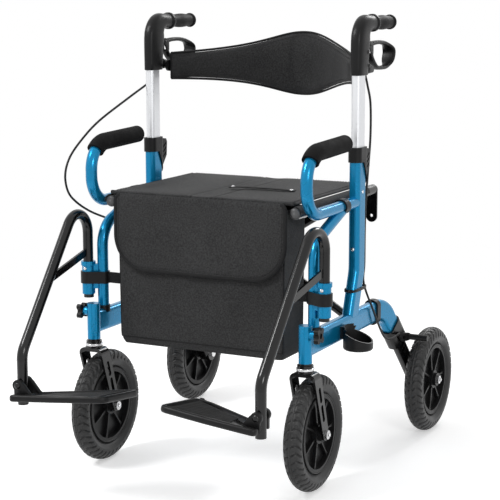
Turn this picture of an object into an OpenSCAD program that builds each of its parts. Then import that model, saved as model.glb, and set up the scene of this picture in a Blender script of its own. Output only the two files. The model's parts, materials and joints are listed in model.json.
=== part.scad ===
// Folding rollator that doubles as a transport chair.
// +X is the chair's right seen from the front, -Y is the front, +Z is up, in millimetres.
// The origin lies on the floor, in the middle of the chair's floor box.

/* [Frame] */
// Half distance between the planes of the two side frames
frame_x = 252; // [242:1:266]
// Height of the lower rail's centre line
rail_z = 317; // [310:1:324]
// Width of the oval frame tube, across the chair
rail_w = 25; // [23:0.5:27]
// Height of the lower rail's tube
rail_h = 49; // [45:1:52]
// Corner radius of the oval frame tubes
oval_r = 10; // [8:0.5:11]
// Wall of the frame tubes
tube_wall = 1.6; // [1.2:0.1:2.2]
// Fore and aft place of the upright
upright_y = -42; // [-50:1:-36]
// Depth of the upright's oval tube, fore and aft
upright_d = 45; // [42:1:48]
// Height of the upright's top end
upright_top_z = 690; // [660:1:710]
// Height at which the upright bends forward to its foot
upright_bend_z = 428; // [415:1:450]
// Fore and aft place of the upright's foot on the rail
upright_foot_y = -82; // [-95:1:-70]
// Fore and aft place where the rail ends and the rear leg starts
rail_end_y = 60; // [54:1:66]
// Fore and aft place of the rear leg's bend
leg_bend_y = 102; // [98:1:112]
// Radius of the rear leg's bend
leg_bend_r = 70; // [60:1:76]
// Length of the painted leg below its bend
leg_blue_len = 78; // [70:1:90]

/* [Wheels] */
// Outer diameter of the tyres
tyre_d = 245; // [235:1:250]
// Width of the rear tyres
tyre_w = 42; // [36:1:46]
// Width of the front tyres
front_tyre_w = 39; // [34:1:44]
// Diameter at which the tyre sits on the rim
rim_d = 170; // [155:1:180]
// Diameter of the wheel hubs
hub_d = 42; // [36:1:50]
// Number of ribs on each face of a wheel's web
rib_count = 7; // [5:1:9]
// Thickness of a wheel's web
web_t = 5; // [4:0.5:8]
// Diameter of the axles
axle_d = 12; // [8:0.5:14]
// Fore and aft place of the front axle
front_y = -265; // [-272:1:-258]
// Fore and aft place of the rear axle
rear_y = 260; // [250:1:275]
// Half track of the rear wheels
rear_x = 314; // [308:1:330]

/* [Caster] */
// Fore and aft place of the caster stem
stem_y = -308; // [-318:1:-300]
// Diameter of the caster stem
stem_d = 20; // [16:0.5:22]
// Outer diameter of the stem housing
housing_d = 28; // [26:0.5:32]
// Height of the stem housing's lower end over the tyre
head_gap = 36; // [33:0.5:41]
// Height of the stem housing's upper end
housing_top_z = 359; // [352:1:366]
// Thickness of the fork's arms
fork_t = 5; // [4:0.5:7]
// Gap between the tyre's side and the fork
fork_gap = 4; // [3:0.5:8]

/* [Armrest] */
// Height of the armrest's lower bar
bar_z = 578; // [570:1:586]
// Height of the armrest's padded bar at its front
pad_z = 703; // [690:1:715]
// Rise of the padded bar towards its rear end
pad_rise = 6; // [0:1:12]
// Foremost place of the armrest tube's centre line
arm_front_y = -306; // [-316:1:-298]
// Rearmost place of the armrest tube's centre line
arm_rear_y = -120; // [-135:1:-110]
// Diameter of the armrest tube
arm_d = 25; // [22:0.5:27]
// Bend radius of the armrest tube
arm_bend_r = 57; // [48:1:60]
// Angle into the front bend at which the foam pad starts
pad_start = 46; // [30:1:60]
// Diameter of the foam pad
pad_d = 37; // [33:0.5:40]

/* [Footrest] */
// Fore and aft place of the front strut
strut_y = -267; // [-272:1:-260]
// Diameter of the front strut
strut_d = 24; // [20:0.5:24.5]
// Height at which the front strut bends back
strut_bend_z = 520; // [505:1:530]
// Fore and aft place where the strut meets the armrest bar
strut_tip_y = -128; // [-150:1:-115]
// Sideways step from the frame plane to the footrest socket
socket_step = 29; // [28:0.5:34]
// Fore and aft place of the footrest socket
socket_y = -280; // [-286:1:-276]
// Outer diameter of the footrest socket
socket_d = 28; // [27:0.5:32]
// Height of the socket's lower end
socket_low_z = 373; // [366:1:380]
// Height of the socket's upper end
socket_top_z = 445; // [438:1:452]
// Diameter of the hanger tube
hanger_d = 22; // [19:0.5:23]
// Height of the hanger hoop's top, at the tube's centre
hoop_z = 553; // [546:1:562]
// Bend radius of the hanger hoop
hoop_r = 45; // [38:1:50]
// Lean of the hanger's front leg from upright, in degrees
hanger_lean = 38.8; // [34:0.2:42]
// Forward reach of the hanger from its socket to the footplate
hanger_reach = 271; // [260:1:285]
// Height of the hanger tube's lower end
hanger_low_z = 192; // [186:1:200]
// Height of the footplate's hinge
plate_hinge_z = 235; // [230:1:242]
// Length of the footplate, across the chair
plate_len = 200; // [180:1:215]
// Depth of the footplate's inner end
plate_deep = 152; // [130:1:165]
// Depth of the footplate's outer end
plate_root = 74; // [70:1:90]
// Thickness of the footplate
plate_t = 14; // [10:0.5:18]
// Upward tilt of the footplate's inner end, in degrees
plate_tilt = 5; // [0:0.5:8]
// Upward tilt of the footplate's toe edge, in degrees
plate_toe = 8; // [0:0.5:10]

/* [Handle] */
// Height of the handle tube's lower end, in the upright
handle_low_z = 578; // [570:1:600]
// Height of the hand grip's axis over the housing's lower end
housing_h = 109; // [104:1:114]
// Height of the hand grip's axis at the housing
grip_z = 957; // [950:1:964]
// Fore and aft place where the hand grip starts
grip_y = 38; // [32:1:44]
// Length of the hand grip
grip_len = 102; // [92:1:120]
// Diameter of the hand grip
grip_d = 31; // [28:0.5:34]
// Fore and aft place of the brake lever's pivot
lever_y = 6; // [4:0.5:8]
// Drop from the hand grip's axis to the brake lever's pivot
lever_drop = 46; // [43:1:49]
// Reach of the brake lever behind its pivot
lever_len = 136; // [125:1:142]
// Diameter of the brake cable
cable_d = 5; // [4:0.2:6]

/* [Fold brace] */
// Half distance between the fold brace's lower pivots
pivot_x = 217; // [212:1:220]
// Height of the lower pivots
pivot_z = 310; // [305:1:318]
// Height of the seat rails
seat_rail_z = 581; // [576:1:590]
// Fore and aft place of the seat rails' rear ends
seat_rail_rear_y = 134; // [120:1:140]
// Diameter of the seat rails
seat_rail_d = 25; // [22:0.5:26]
// Fore and aft place of the front cross arm
brace_y = -20; // [-24:1:-8]
// Diameter of the cross arms
brace_d = 20; // [16:0.5:21]
// Gap between the two cross arms
brace_gap = 2; // [1:0.5:4]
// Diameter of the fold pins
fold_pin_d = 8; // [6:0.5:10]

/* [Seat and back] */
// Fore and aft place of the seat's front edge
seat_front_y = -288; // [-294:1:-280]
// Fore and aft place of the seat's rear edge
seat_rear_y = 82; // [70:1:84]
// Thickness of the seat
seat_t = 11; // [10.5:0.5:12]
// Gap between the two seat halves
seat_split = 36; // [34:1:44]
// Depth of the backrest's curve
back_depth = 258; // [235:1:265]
// Height of the backrest at its middle
back_mid_h = 150; // [120:1:170]
// Height of the backrest at its ends, before the flare
back_end_h = 42; // [40:1:60]
// Thickness of the backrest's pad at its middle
back_t = 26; // [18:1:34]
// Drop from the hand grip's axis to the backrest's centre line
back_drop = 100; // [93:1:107]

/* [Bag and cup] */
// Half width of the bag at its top
bag_x = 198; // [184:1:200]
// Depth of the bag, fore and aft
bag_deep = 104; // [80:1:120]
// Height of the bag's bottom
bag_low_z = 274; // [265:1:300]
// Height of the flap's lower edge
flap_low_z = 436; // [400:1:480]
// Outer diameter of the cane cup's rim
cup_d = 64; // [60:1:68]
// Wall of the cane cup
cup_wall = 3; // [2:0.5:5]
// Height of the cane cup's bottom
cup_low_z = 279; // [272:1:284]

/* [Hidden] */
$fn = 64;
// Radial clearance of a turning fit
run = 0.05;
// Gap at a welded or pushed-on joint
weld = 0.15;
// Gap between pieces that slide or pass
pass = 0.35;
// Extra section of a bend, so that it takes in the ends of its straight tubes
bend_swell = 0.1;
$swell = 0;
// Shift from the wheelbase's middle to the middle of the floor box
origin_y = 104.45;
wheel_z = tyre_d / 2;
housing_low_z = tyre_d + head_gap;
housing_z = grip_z - housing_h;
lever_z = grip_z - lever_drop;
back_z = grip_z - back_drop;
rail_top = rail_z + rail_h / 2;
paint = "#1f7fb8";
plastic = "#26272a";
black_paint = "#17181a";
foam = "#232323";
rubber = "#2b2b2c";
steel = "#c9ccd0";
cloth = "#2e2f31";

// Rear leg: its plane splays outward so that its end clears the tyre
leg_end_x = rear_x - tyre_w / 2 - fork_gap - rail_w / 2;
leg_splay = atan((leg_end_x - frame_x) / (rear_y - rail_end_y));
leg_run = (rear_y - rail_end_y) / cos(leg_splay);
leg_bend_u = (leg_bend_y - rail_end_y) / cos(leg_splay);
leg_drop = atan((rail_z - wheel_z) / (leg_run - leg_bend_u));
leg_start = [leg_bend_u, rail_z];
leg_way = [cos(leg_drop), -sin(leg_drop)];
leg_path = [[rail_w * sin(leg_splay) / 2 + weld, rail_z], leg_start, leg_start + leg_way * leg_blue_len];

// Handle tube: slides inside the upright
handle_slack = 2.5;
handle_d = upright_d - 2 * tube_wall - 2 * handle_slack;
handle_w = rail_w - 2 * tube_wall - 2 * pass;
handle_r = oval_r - tube_wall - pass;
handle_in = 52;

// Armrest and strut paths, in the side frame's plane
arm_path = [[upright_y, bar_z], [arm_front_y, bar_z], [arm_front_y, pad_z],
            [arm_rear_y, pad_z + pad_rise]];
strut_foot_h = 7;
strut_low_z = rail_top + 2;
strut_path = [[strut_y, strut_low_z], [strut_y, strut_bend_z], [strut_tip_y, bar_z - 8]];

// Hanger path, forward from the socket's axis
socket_x = frame_x + socket_step;
hoop_end = [hoop_r + hoop_r * cos(hanger_lean), hoop_z - hoop_r + hoop_r * sin(hanger_lean)];
hoop_peak = [0, hoop_end[1] + hoop_end[0] / tan(hanger_lean)];
ankle = [hanger_reach, hoop_end[1] - (hanger_reach - hoop_end[0]) / tan(hanger_lean)];
hanger_path = [[0, socket_low_z - 8], hoop_peak, ankle, [hanger_reach, hanger_low_z]];
hanger_wall = 2.2;
toe_in = 2.2;
tie_z = 468;
tie_end_z = 430;
plate_x = socket_x - hanger_reach * sin(toe_in);
plate_y = socket_y - hanger_reach * cos(toe_in);
plate_pin_d = 8;
lug_t = 9;
lug_gap = hanger_d / 2 + 1;

// Fold brace
arm_a_y = brace_y;
arm_b_y = brace_y + brace_d + brace_gap;
brace_rise = seat_rail_z - pivot_z;
brace_angle = atan(brace_rise / (2 * pivot_x));
brace_len = norm([2 * pivot_x, brace_rise]);
eye_w = brace_d - 4;
lug_plate = 4;
seat_low_z = seat_rail_z + seat_rail_d / 2 + pass;
seat_top_z = seat_low_z + seat_t;
hem_t = 3.5;

// Backrest brackets turn on pins that stand out of the handle housings
housing_w = 28;
back_pin_d = 8;
back_pin_y = -6;
bracket_t = 5;
bracket_x = frame_x - housing_w / 2 - 5 - bracket_t;
bracket_end_y = 26;
back_start_y = -24;
back_edge_t = 9;
back_x = bracket_x - pass - back_edge_t / 2;

brake_pin_d = 8;
brake_arm_t = 6;
pad_clear = 5;
sleeve_t = 4;

// Path helpers: a path is a list of points in a plane, with one bend radius
function unit(v) = v / norm(v);
function heading(a, b) = atan2(b[1] - a[1], b[0] - a[0]);
function wrap(a) = a > 180 ? a - 360 : a < -180 ? a + 360 : a;
function turn(p, i) = wrap(heading(p[i], p[i + 1]) - heading(p[i - 1], p[i]));
function setback(p, i, bend) = (i == 0 || i == len(p) - 1) ? 0 : bend * tan(abs(turn(p, i)) / 2);

// Smooth curve through points, for the cables
function spline(a, b, c, d, t) =
    0.5 * (2 * b + (c - a) * t + (2 * a - 5 * b + 4 * c - d) * t * t
    + (3 * b - a - 3 * c + d) * t * t * t);
function pick(p, i) = p[max(0, min(len(p) - 1, i))];
function smooth(p, steps) = [for (i = [0 : len(p) - 2]) for (k = [0 : steps - 1])
    spline(pick(p, i - 1), p[i], p[i + 1], pick(p, i + 2), k / steps), p[len(p) - 1]];

// Oval tube outline with true round corners
module oval(h, w, r) {
    g = $swell;
    square([h - 2 * r, w + 2 * g], center = true);
    square([h + 2 * g, w - 2 * r], center = true);
    for (x = [-1, 1]) for (y = [-1, 1])
        translate([x * (h / 2 - r), y * (w / 2 - r)]) circle(r + g);
}

module oval_tube(h, w, r, wall) {
    difference() {
        oval(h, w, r);
        oval(h - 2 * wall, w - 2 * wall, r - wall, $swell = -$swell);
    }
}

module disc(d) {
    circle(d / 2 + $swell);
}

module ring(d, wall) {
    difference() {
        disc(d);
        disc(d - 2 * wall, $swell = -$swell);
    }
}

// Turns a plane's x and y to the chair's Y and Z, at a sideways place
module in_plane(x) {
    translate([x, 0, 0]) rotate([90, 0, 90]) children();
}

module sweep(p, bend) {
    for (i = [0 : len(p) - 2]) {
        way = unit(p[i + 1] - p[i]);
        lap = 0.4;
        a = p[i] + way * (setback(p, i, bend) - (i > 0 ? lap : 0));
        b = p[i + 1] - way * (setback(p, i + 1, bend) - (i < len(p) - 2 ? lap : 0));
        translate(a) rotate([0, 0, heading(p[i], p[i + 1])]) rotate([90, 0, 90])
            linear_extrude(norm(b - a)) children();
    }
    for (i = [1 : 1 : len(p) - 2]) {
        $swell = bend_swell;
        t = turn(p, i);
        in = heading(p[i - 1], p[i]);
        side = t > 0 ? 1 : -1;
        a = p[i] - unit(p[i] - p[i - 1]) * setback(p, i, bend);
        translate(a + bend * side * [-sin(in), cos(in)])
            rotate([0, 0, t > 0 ? in - 90 : in + 90 + t])
            rotate_extrude(angle = abs(t)) translate([bend, 0]) children();
    }
}

// Round bar or bore along X, Y or between heights
module bar_x(x0, x1, y, z, d) {
    translate([x0, y, z]) rotate([0, 90, 0]) cylinder(h = x1 - x0, d = d);
}

module bar_y(x, y0, y1, z, d) {
    translate([x, y1, z]) rotate([90, 0, 0]) cylinder(h = y1 - y0, d = d);
}

module bar_z(x, y, z0, z1, d) {
    translate([x, y, z0]) cylinder(h = z1 - z0, d = d);
}

// Side pieces are drawn for the right side and mirrored for the left
module on_side(s) {
    translate([0, origin_y, 0]) mirror([s < 0 ? 1 : 0, 0, 0]) children();
}

module rail_solid(gap) {
    in_plane(frame_x) sweep([[stem_y, rail_z], [rail_end_y, rail_z]], 1)
        oval(rail_h + 2 * gap, rail_w + 2 * gap, oval_r + gap);
}

module upright_solid(gap) {
    in_plane(frame_x) sweep([[upright_foot_y, rail_z], [upright_y, upright_bend_z], [upright_y,
        upright_top_z]], 60)
        oval(upright_d + 2 * gap, rail_w + 2 * gap, oval_r + gap);
}

module bar_solid(gap) {
    bar_y(frame_x, arm_front_y + arm_bend_r, upright_y, bar_z, arm_d + 2 * gap);
}

module leg_plane() {
    translate([frame_x, rail_end_y, 0]) rotate([0, 0, -leg_splay]) rotate([90, 0, 90]) children();
}

knob_z = 340;
knob_boss_d = 18;
knob_boss_x = frame_x + housing_d / 2 + 8;
knob_stud_d = 8;
knob_hole = 6;

// The rail carries the stem housing, the knob's boss and the fold lug: two plates
// and a pin for a cross arm's lower eye
module lower_rail(s) {
    lug_y = s < 0 ? arm_a_y : arm_b_y;
    lug_reach = frame_x - rail_w / 2 + tube_wall / 2;
    color(paint) on_side(s) difference() {
        union() {
            for (e = [-1, 1]) translate([0, lug_y + e * (eye_w / 2 + pass + lug_plate / 2), 0])
                rotate([90, 0, 0]) linear_extrude(lug_plate, center = true) {
                    translate([pivot_x, pivot_z]) circle(11);
                    polygon([[pivot_x, pivot_z + 11], [lug_reach, rail_z + 11],
                        [lug_reach, rail_z - 14], [pivot_x, pivot_z - 11]]);
                }
            bar_y(pivot_x, lug_y - eye_w / 2 - lug_plate - 3, lug_y + eye_w / 2 + lug_plate + 3,
                pivot_z, fold_pin_d);
            in_plane(frame_x) sweep([[stem_y, rail_z], [rail_end_y, rail_z]], 1)
                oval_tube(rail_h, rail_w, oval_r, tube_wall);
            bar_z(frame_x, stem_y, housing_low_z, housing_top_z, housing_d);
            bar_x(frame_x, knob_boss_x, stem_y, knob_z, knob_boss_d);
        }
        bar_z(frame_x, stem_y, housing_low_z - 1, housing_top_z - 4, stem_d + 2 * run);
        bar_x(knob_boss_x - knob_hole, knob_boss_x + 1, stem_y, knob_z, knob_stud_d + 2 * run);
    }
}

module rear_leg(s) {
    color(paint) on_side(s) leg_plane() sweep(leg_path, leg_bend_r) oval_tube(rail_h, rail_w, oval_r,
        tube_wall);
}

brake_pivot = leg_start + leg_way * (leg_blue_len + 22);
brake_face = rail_w / 2 + sleeve_t + pass;

// Black lower leg: a sleeve on the painted tube, an axle boss and the brake arm's pin
module rear_fork(s) {
    low = leg_start + leg_way * (leg_blue_len - 20);
    mid = leg_start + leg_way * (leg_blue_len + weld);
    foot = [leg_run, wheel_z];
    boss_d = 38;
    color(black_paint) on_side(s) difference() {
        union() {
            leg_plane() sweep([low, mid + leg_way * 36], 1)
                oval(rail_h + 2 * sleeve_t, rail_w + 2 * sleeve_t, oval_r + sleeve_t);
            leg_plane() sweep([mid, foot], 1) oval(rail_h - 12, rail_w - 2, oval_r);
            leg_plane() translate(brake_pivot) cylinder(h = brake_face + brake_arm_t + 2, d = brake_pin_d);
            bar_x(leg_end_x - rail_w / 2, leg_end_x + rail_w / 2 + rear_boss, rear_y, wheel_z, boss_d);
        }
        leg_plane() sweep([low - leg_way, mid], 1)
            oval(rail_h + 2 * weld, rail_w + 2 * weld, oval_r + weld);
        for (k = [0 : 2]) leg_plane() translate(leg_start + leg_way * (leg_blue_len + 48 + 14 * k))
            rotate([0, 0, -leg_drop]) translate([0, 0, 17]) cube([7, 22, 16], center = true);
        bar_x(leg_end_x - 40, leg_end_x + 40, rear_y, wheel_z, axle_d + 2 * weld);
    }
}

// Brake arm: a plate on the sleeve's outer side with a tail for the cable
// and a bar that presses on the tread
brake_pad_d = 14;
pad_angle = 122;
pad_r = tyre_d / 2 + pad_clear + brake_pad_d / 2;
pad_at = [leg_run + pad_r * cos(pad_angle), wheel_z + pad_r * sin(pad_angle)];
tail_at = brake_pivot + [-16, 10];

module brake_arm(s) {
    way = unit(pad_at - brake_pivot);
    across = [-way[1], way[0]];
    bar_len = rear_x + tyre_w / 2 - leg_end_x + 10 - brake_face;
    color(plastic) on_side(s) leg_plane() translate([0, 0, brake_face]) difference() {
        union() {
            linear_extrude(brake_arm_t) {
                translate(brake_pivot) circle(10);
                translate(pad_at) circle(brake_pad_d / 2 + 2);
                translate(tail_at) circle(5);
                polygon([brake_pivot + across * 10, brake_pivot - across * 10, pad_at - across * 9,
                    pad_at + across * 9]);
                polygon([tail_at + [3, 4], tail_at - [3, 4], brake_pivot - [7, 6], brake_pivot + [5, 8]]);
            }
            translate(pad_at) rotate([0, leg_splay, 0]) cylinder(h = bar_len, d = brake_pad_d);
        }
        translate(concat(brake_pivot, -1)) cylinder(h = brake_arm_t + 2, d = brake_pin_d + 2 * run);
    }
}

module upright(s) {
    color(paint) on_side(s) difference() {
        in_plane(frame_x) sweep([[upright_foot_y, rail_z], [upright_y, upright_bend_z], [upright_y,
            upright_top_z]], 60)
            oval_tube(upright_d, rail_w, oval_r, tube_wall);
        rail_solid(weld);
    }
}

module armrest_tube(s) {
    color(paint) on_side(s) difference() {
        in_plane(frame_x) sweep(arm_path, arm_bend_r) ring(arm_d, tube_wall);
        upright_solid(weld);
    }
}

// Foam sleeve from the middle of the front bend to a round closed rear end
module armrest_pad(s) {
    pad_wall = (pad_d - arm_d) / 2 - weld - 2 * bend_swell;
    rise = heading(arm_path[2], arm_path[3]);
    cap_r = 5;
    over = cap_r - 2 + pass;
    pad_end = arm_path[3] + over * unit(arm_path[3] - arm_path[2]);
    bend_c = [arm_front_y + arm_bend_r, pad_z - setback(arm_path, 2, arm_bend_r)];
    color(foam) on_side(s) in_plane(frame_x) {
        difference() {
            sweep([arm_path[1] + [0, arm_bend_r], arm_path[2], pad_end], arm_bend_r)
                ring(pad_d, pad_wall);
            translate([bend_c[0], bend_c[1], -pad_d]) rotate([0, 0, -pad_start]) translate([-4 * pad_d,
                -6 * pad_d, 0])
                cube([5 * pad_d, 6 * pad_d, 2 * pad_d]);
        }
        translate(pad_end) rotate([0, 0, rise]) rotate([0, 90, 0]) rotate_extrude() {
            square([pad_d / 2 + bend_swell - cap_r, cap_r + 2]);
            translate([0, -1]) square([pad_d / 2 + bend_swell, 3]);
            translate([pad_d / 2 + bend_swell - cap_r, 2]) circle(cap_r);
        }
    }
}

module front_strut(s) {
    bore = hanger_d + 2 * run;
    web_low = socket_low_z + 12;
    web_top = socket_top_z - 6;
    slant = atan2(socket_y - strut_y, socket_step);
    color(paint) on_side(s) difference() {
        union() {
            in_plane(frame_x) sweep(strut_path, 60) ring(strut_d, tube_wall);
            difference() {
                union() {
                    bar_z(socket_x, socket_y, socket_low_z, socket_top_z, socket_d);
                    bar_z(socket_x, socket_y, socket_top_z - 9, socket_top_z, socket_d + 4);
                    translate([frame_x, strut_y, web_low]) rotate([0, 0, slant])
                        translate([0, -7, 0]) cube([norm([socket_step, socket_y - strut_y]), 14,
                            web_top - web_low]);
                }
                bar_z(frame_x, strut_y, web_low - 1, web_top + 1, strut_d - tube_wall);
            }
        }
        bar_solid(weld);
        bar_z(socket_x, socket_y, socket_low_z - 1, socket_top_z + 1, bore);
    }
}

// Outline of a strap drawn round the front strut and the socket
module band_outline(gap) {
    away = [socket_step, socket_y - strut_y];
    side = [-unit(away)[1], unit(away)[0]];
    a = [frame_x, strut_y];
    b = [socket_x, socket_y];
    ra = strut_d / 2 + gap;
    rb = socket_d / 2 + gap;
    translate(a) circle(ra);
    translate(b) circle(rb);
    polygon([a + side * ra, b + side * rb, b - side * rb, a - side * ra]);
}

band_t = 3;
cradle_y = -124;
cradle_w = 22;

// Black fittings on the frame: rail ring, strut foot and seat cradle
module frame_fittings(s) {
    grip = 4;
    color(plastic) on_side(s) {
        difference() {
            in_plane(frame_x) sweep([[rail_end_y - 14, rail_z], [rail_end_y + 4, rail_z]], 1)
                oval(rail_h + 2 * grip, rail_w + 2 * grip, oval_r + grip);
            in_plane(frame_x) sweep([[rail_end_y - 20, rail_z], [rail_end_y, rail_z]], 1)
                oval(rail_h + 2 * weld, rail_w + 2 * weld, oval_r + weld);
            in_plane(frame_x) sweep([[rail_end_y - 1, rail_z], [rail_end_y + 20, rail_z]], 1)
                oval(rail_h + 1.6, rail_w + 2.4, oval_r + 0.8);
        }
        difference() {
            bar_z(frame_x, strut_y, rail_top - 8, rail_top + strut_foot_h, strut_d + 5);
            rail_solid(weld);
            bar_z(frame_x, strut_y, strut_low_z - weld, rail_top + strut_foot_h + 1, strut_d + 2 * weld);
        }
        translate([0, 0, tab_z - 13]) linear_extrude(26) difference() {
            band_outline(band_t);
            band_outline(weld);
            translate([frame_x, strut_y]) rotate([0, 0, atan2(socket_y - strut_y, socket_step)])
                translate([0, -7 - weld]) square([socket_step, 14 + 2 * weld]);
        }
        difference() {
            union() {
                bar_y(frame_x, cradle_y - cradle_w / 2, cradle_y + cradle_w / 2, bar_z, arm_d + 8);
                bar_y(pivot_x, cradle_y - cradle_w / 2, cradle_y + cradle_w / 2, seat_rail_z,
                    seat_rail_d + 9);
                translate([pivot_x, cradle_y - cradle_w / 2, seat_rail_z - 14])
                    cube([frame_x - pivot_x, cradle_w, 14]);
            }
            bar_solid(weld);
            in_plane(frame_x) sweep(strut_path, 60) disc(strut_d + 2 * weld);
            bar_y(pivot_x, cradle_y - cradle_w, cradle_y + cradle_w, seat_rail_z, seat_rail_d + 2 * pass);
            translate([pivot_x - seat_rail_d, cradle_y - cradle_w, seat_rail_z])
                cube([frame_x - arm_d / 2 - 4 - pivot_x + seat_rail_d, 2 * cradle_w, seat_rail_d]);
        }
    }
}

// Height collar: a moulded cap on the upright, lower at its ribbed back
module height_collar(s) {
    shell = 3;
    front_h = 32;
    back_h = 84;
    top = upright_top_z + 6;
    back_y = upright_y + upright_d / 2;
    hump = 20;
    color(plastic) on_side(s) difference() {
        union() {
            in_plane(frame_x) sweep([[upright_y, top - back_h], [upright_y, top]], 1)
                oval(upright_d + 2 * shell, rail_w + 2 * shell, oval_r + shell);
            translate([frame_x, 0, 0]) rotate([90, 0, 90]) linear_extrude(rail_w - 2, center = true)
                polygon([[back_y, top - 4], [back_y + hump - 4, top - 6], [back_y + hump, top - 14],
                    [back_y + hump - 2, top - 44], [back_y, top - 66]]);
        }
        in_plane(frame_x) sweep([[upright_y, top - back_h - 1], [upright_y, upright_top_z + weld]], 1)
            oval(upright_d + 2 * weld, rail_w + 2 * weld, oval_r + weld);
        in_plane(frame_x) sweep([[upright_y, upright_top_z - 1], [upright_y, top + 1]], 1)
            oval(handle_d + 2 * pass, handle_w + 2 * pass, handle_r + pass);
        in_plane(frame_x - 30) linear_extrude(60)
            polygon([[upright_y - upright_d, top - front_h], [upright_y, top - front_h], [back_y + 4,
                top - back_h - 1],
                [upright_y - upright_d, top - back_h - 1]]);
        for (k = [0 : 2]) for (e = [-1, 1])
            translate([frame_x + e * (rail_w / 2 - 1), back_y + 8, top - 20 - 11 * k]) rotate([35, 0, 0])
                cube([3, 17, 4], center = true);
    }
}

module handle_tube(s) {
    color(steel) on_side(s) in_plane(frame_x)
        sweep([[upright_y, handle_low_z], [upright_y, housing_z + handle_in]], 1)
            oval_tube(handle_d, handle_w, handle_r, tube_wall);
}

lever_tongue_w = 8;
lever_pin_d = 6;
core_d = 22;

// Moulded handle housing: sleeve, elbow, tail and the core under the grip
module handle_housing(s) {
    front_y = upright_y - handle_d / 2 - 4;
    color(plastic) on_side(s) difference() {
        union() {
            hull() for (e = [[housing_z, 54, 0], [grip_z - 25, 64, 3]])
                translate([frame_x, front_y + e[1] / 2, e[0]]) linear_extrude(2)
                    oval(housing_w + e[2] - 1, e[1], 13, $fn = 32);
            hull() {
                translate([frame_x, front_y + 32, grip_z - 24]) linear_extrude(1) oval(housing_w + 2,
                    64, 13, $fn = 32);
                translate([frame_x, front_y + 33, grip_z - 6]) sphere(16, $fn = 24);
                translate([frame_x, front_y + 62, grip_z - 1]) sphere(19, $fn = 24);
            }
            hull() {
                translate([frame_x, front_y + 62, grip_z - 1]) sphere(19, $fn = 24);
                translate([frame_x, grip_y - 10, grip_z]) rotate([-90, 0, 0]) cylinder(h = 10 - weld,
                    d = grip_d + 2, $fn = 32);
            }
            hull() {
                translate([frame_x - 10, front_y + 30, housing_z + 1]) cube([20, 2, 26]);
                translate([frame_x - 9, 26, housing_z + 3]) cube([18, 2, 14]);
            }
            bar_y(frame_x, front_y + 40, grip_y + grip_len - 14, grip_z, core_d);
            bar_x(frame_x - lever_tongue_w / 2, frame_x + lever_tongue_w / 2, lever_y, lever_z, 15);
            bar_x(frame_x - 9, frame_x + 9, lever_y, lever_z, lever_pin_d);
            translate([frame_x - lever_tongue_w / 2, lever_y - 16, lever_z - 7]) cube([lever_tongue_w,
                16, 14]);
            bar_x(bracket_x + 0.3, frame_x - 8, back_pin_y, back_z, back_pin_d);
            bar_x(bracket_x + bracket_t + pass, frame_x - 8, back_pin_y, back_z, 20);
        }
        in_plane(frame_x) sweep([[upright_y, housing_z - 1], [upright_y, housing_z + handle_in + weld]], 1)
            oval(handle_d + 2 * weld, handle_w + 2 * weld, handle_r + weld);
        bar_x(frame_x + housing_w / 2 - 2, frame_x + housing_w, upright_y + 8, housing_z + 58, 9);
    }
}

// Grip sleeve with a slow swell for the palm and a flange at each end
module hand_grip(s) {
    steps = 12;
    body = [for (k = [0 : steps]) let (t = k / steps)
        [grip_d / 2 - 2 + 2.4 * sin(180 * t) * sin(180 * t), 5 + (grip_len - 12) * t]];
    color(rubber) on_side(s) translate([frame_x, grip_y, grip_z]) rotate([-90, 0, 0]) difference() {
        rotate_extrude() {
            polygon(concat([[0, 0], [grip_d / 2 + 1, 0], [grip_d / 2 + 1, 4]], body, [[0, grip_len - 7]]));
            square([grip_d / 2 - 5, grip_len]);
            translate([grip_d / 2 - 5, grip_len - 6]) circle(6);
        }
        translate([0, 0, -1]) cylinder(h = grip_len - 12.5, d = core_d + 2 * weld);
    }
}

// Loop lever: a closed finger loop with a broad end bar, hung from its pivot
module brake_lever(s) {
    end_y = lever_y + lever_len;
    low_z = lever_z - 56;
    half = 8.5;
    color(plastic) on_side(s) difference() {
        union() {
            in_plane(frame_x) linear_extrude(2 * half, center = true) difference() {
                polygon([[lever_y, lever_z - 8], [lever_y, lever_z + 8], [end_y - 44, lever_z + 6],
                    [end_y, lever_z - 8], [end_y - 26, low_z], [lever_y + 48, low_z], [lever_y + 2,
                        lever_z - 25]]);
                polygon([[lever_y + 11, lever_z - 20], [lever_y + 11, lever_z - 3], [end_y - 46,
                    lever_z - 3],
                    [end_y - 11, lever_z - 13], [end_y - 31, low_z + 9], [lever_y + 51, low_z + 9]]);
            }
            in_plane(frame_x) linear_extrude(34, center = true)
                polygon([[end_y - 3, lever_z - 7], [end_y, lever_z - 8], [end_y - 24, low_z + 3],
                    [end_y - 31, low_z + 9], [end_y - 11, lever_z - 13]]);
            bar_x(frame_x - half, frame_x + half, lever_y, lever_z, 16);
        }
        bar_x(frame_x - lever_tongue_w / 2 - pass, frame_x + lever_tongue_w / 2 + pass, lever_y,
            lever_z, 22);
        bar_x(frame_x - 20, frame_x + 20, lever_y, lever_z, lever_pin_d + 2 * run);
        translate([frame_x - lever_tongue_w / 2 - pass, lever_y - 12, lever_z - 12])
            cube([lever_tongue_w + 2 * pass, 14, 24]);
    }
}

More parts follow.
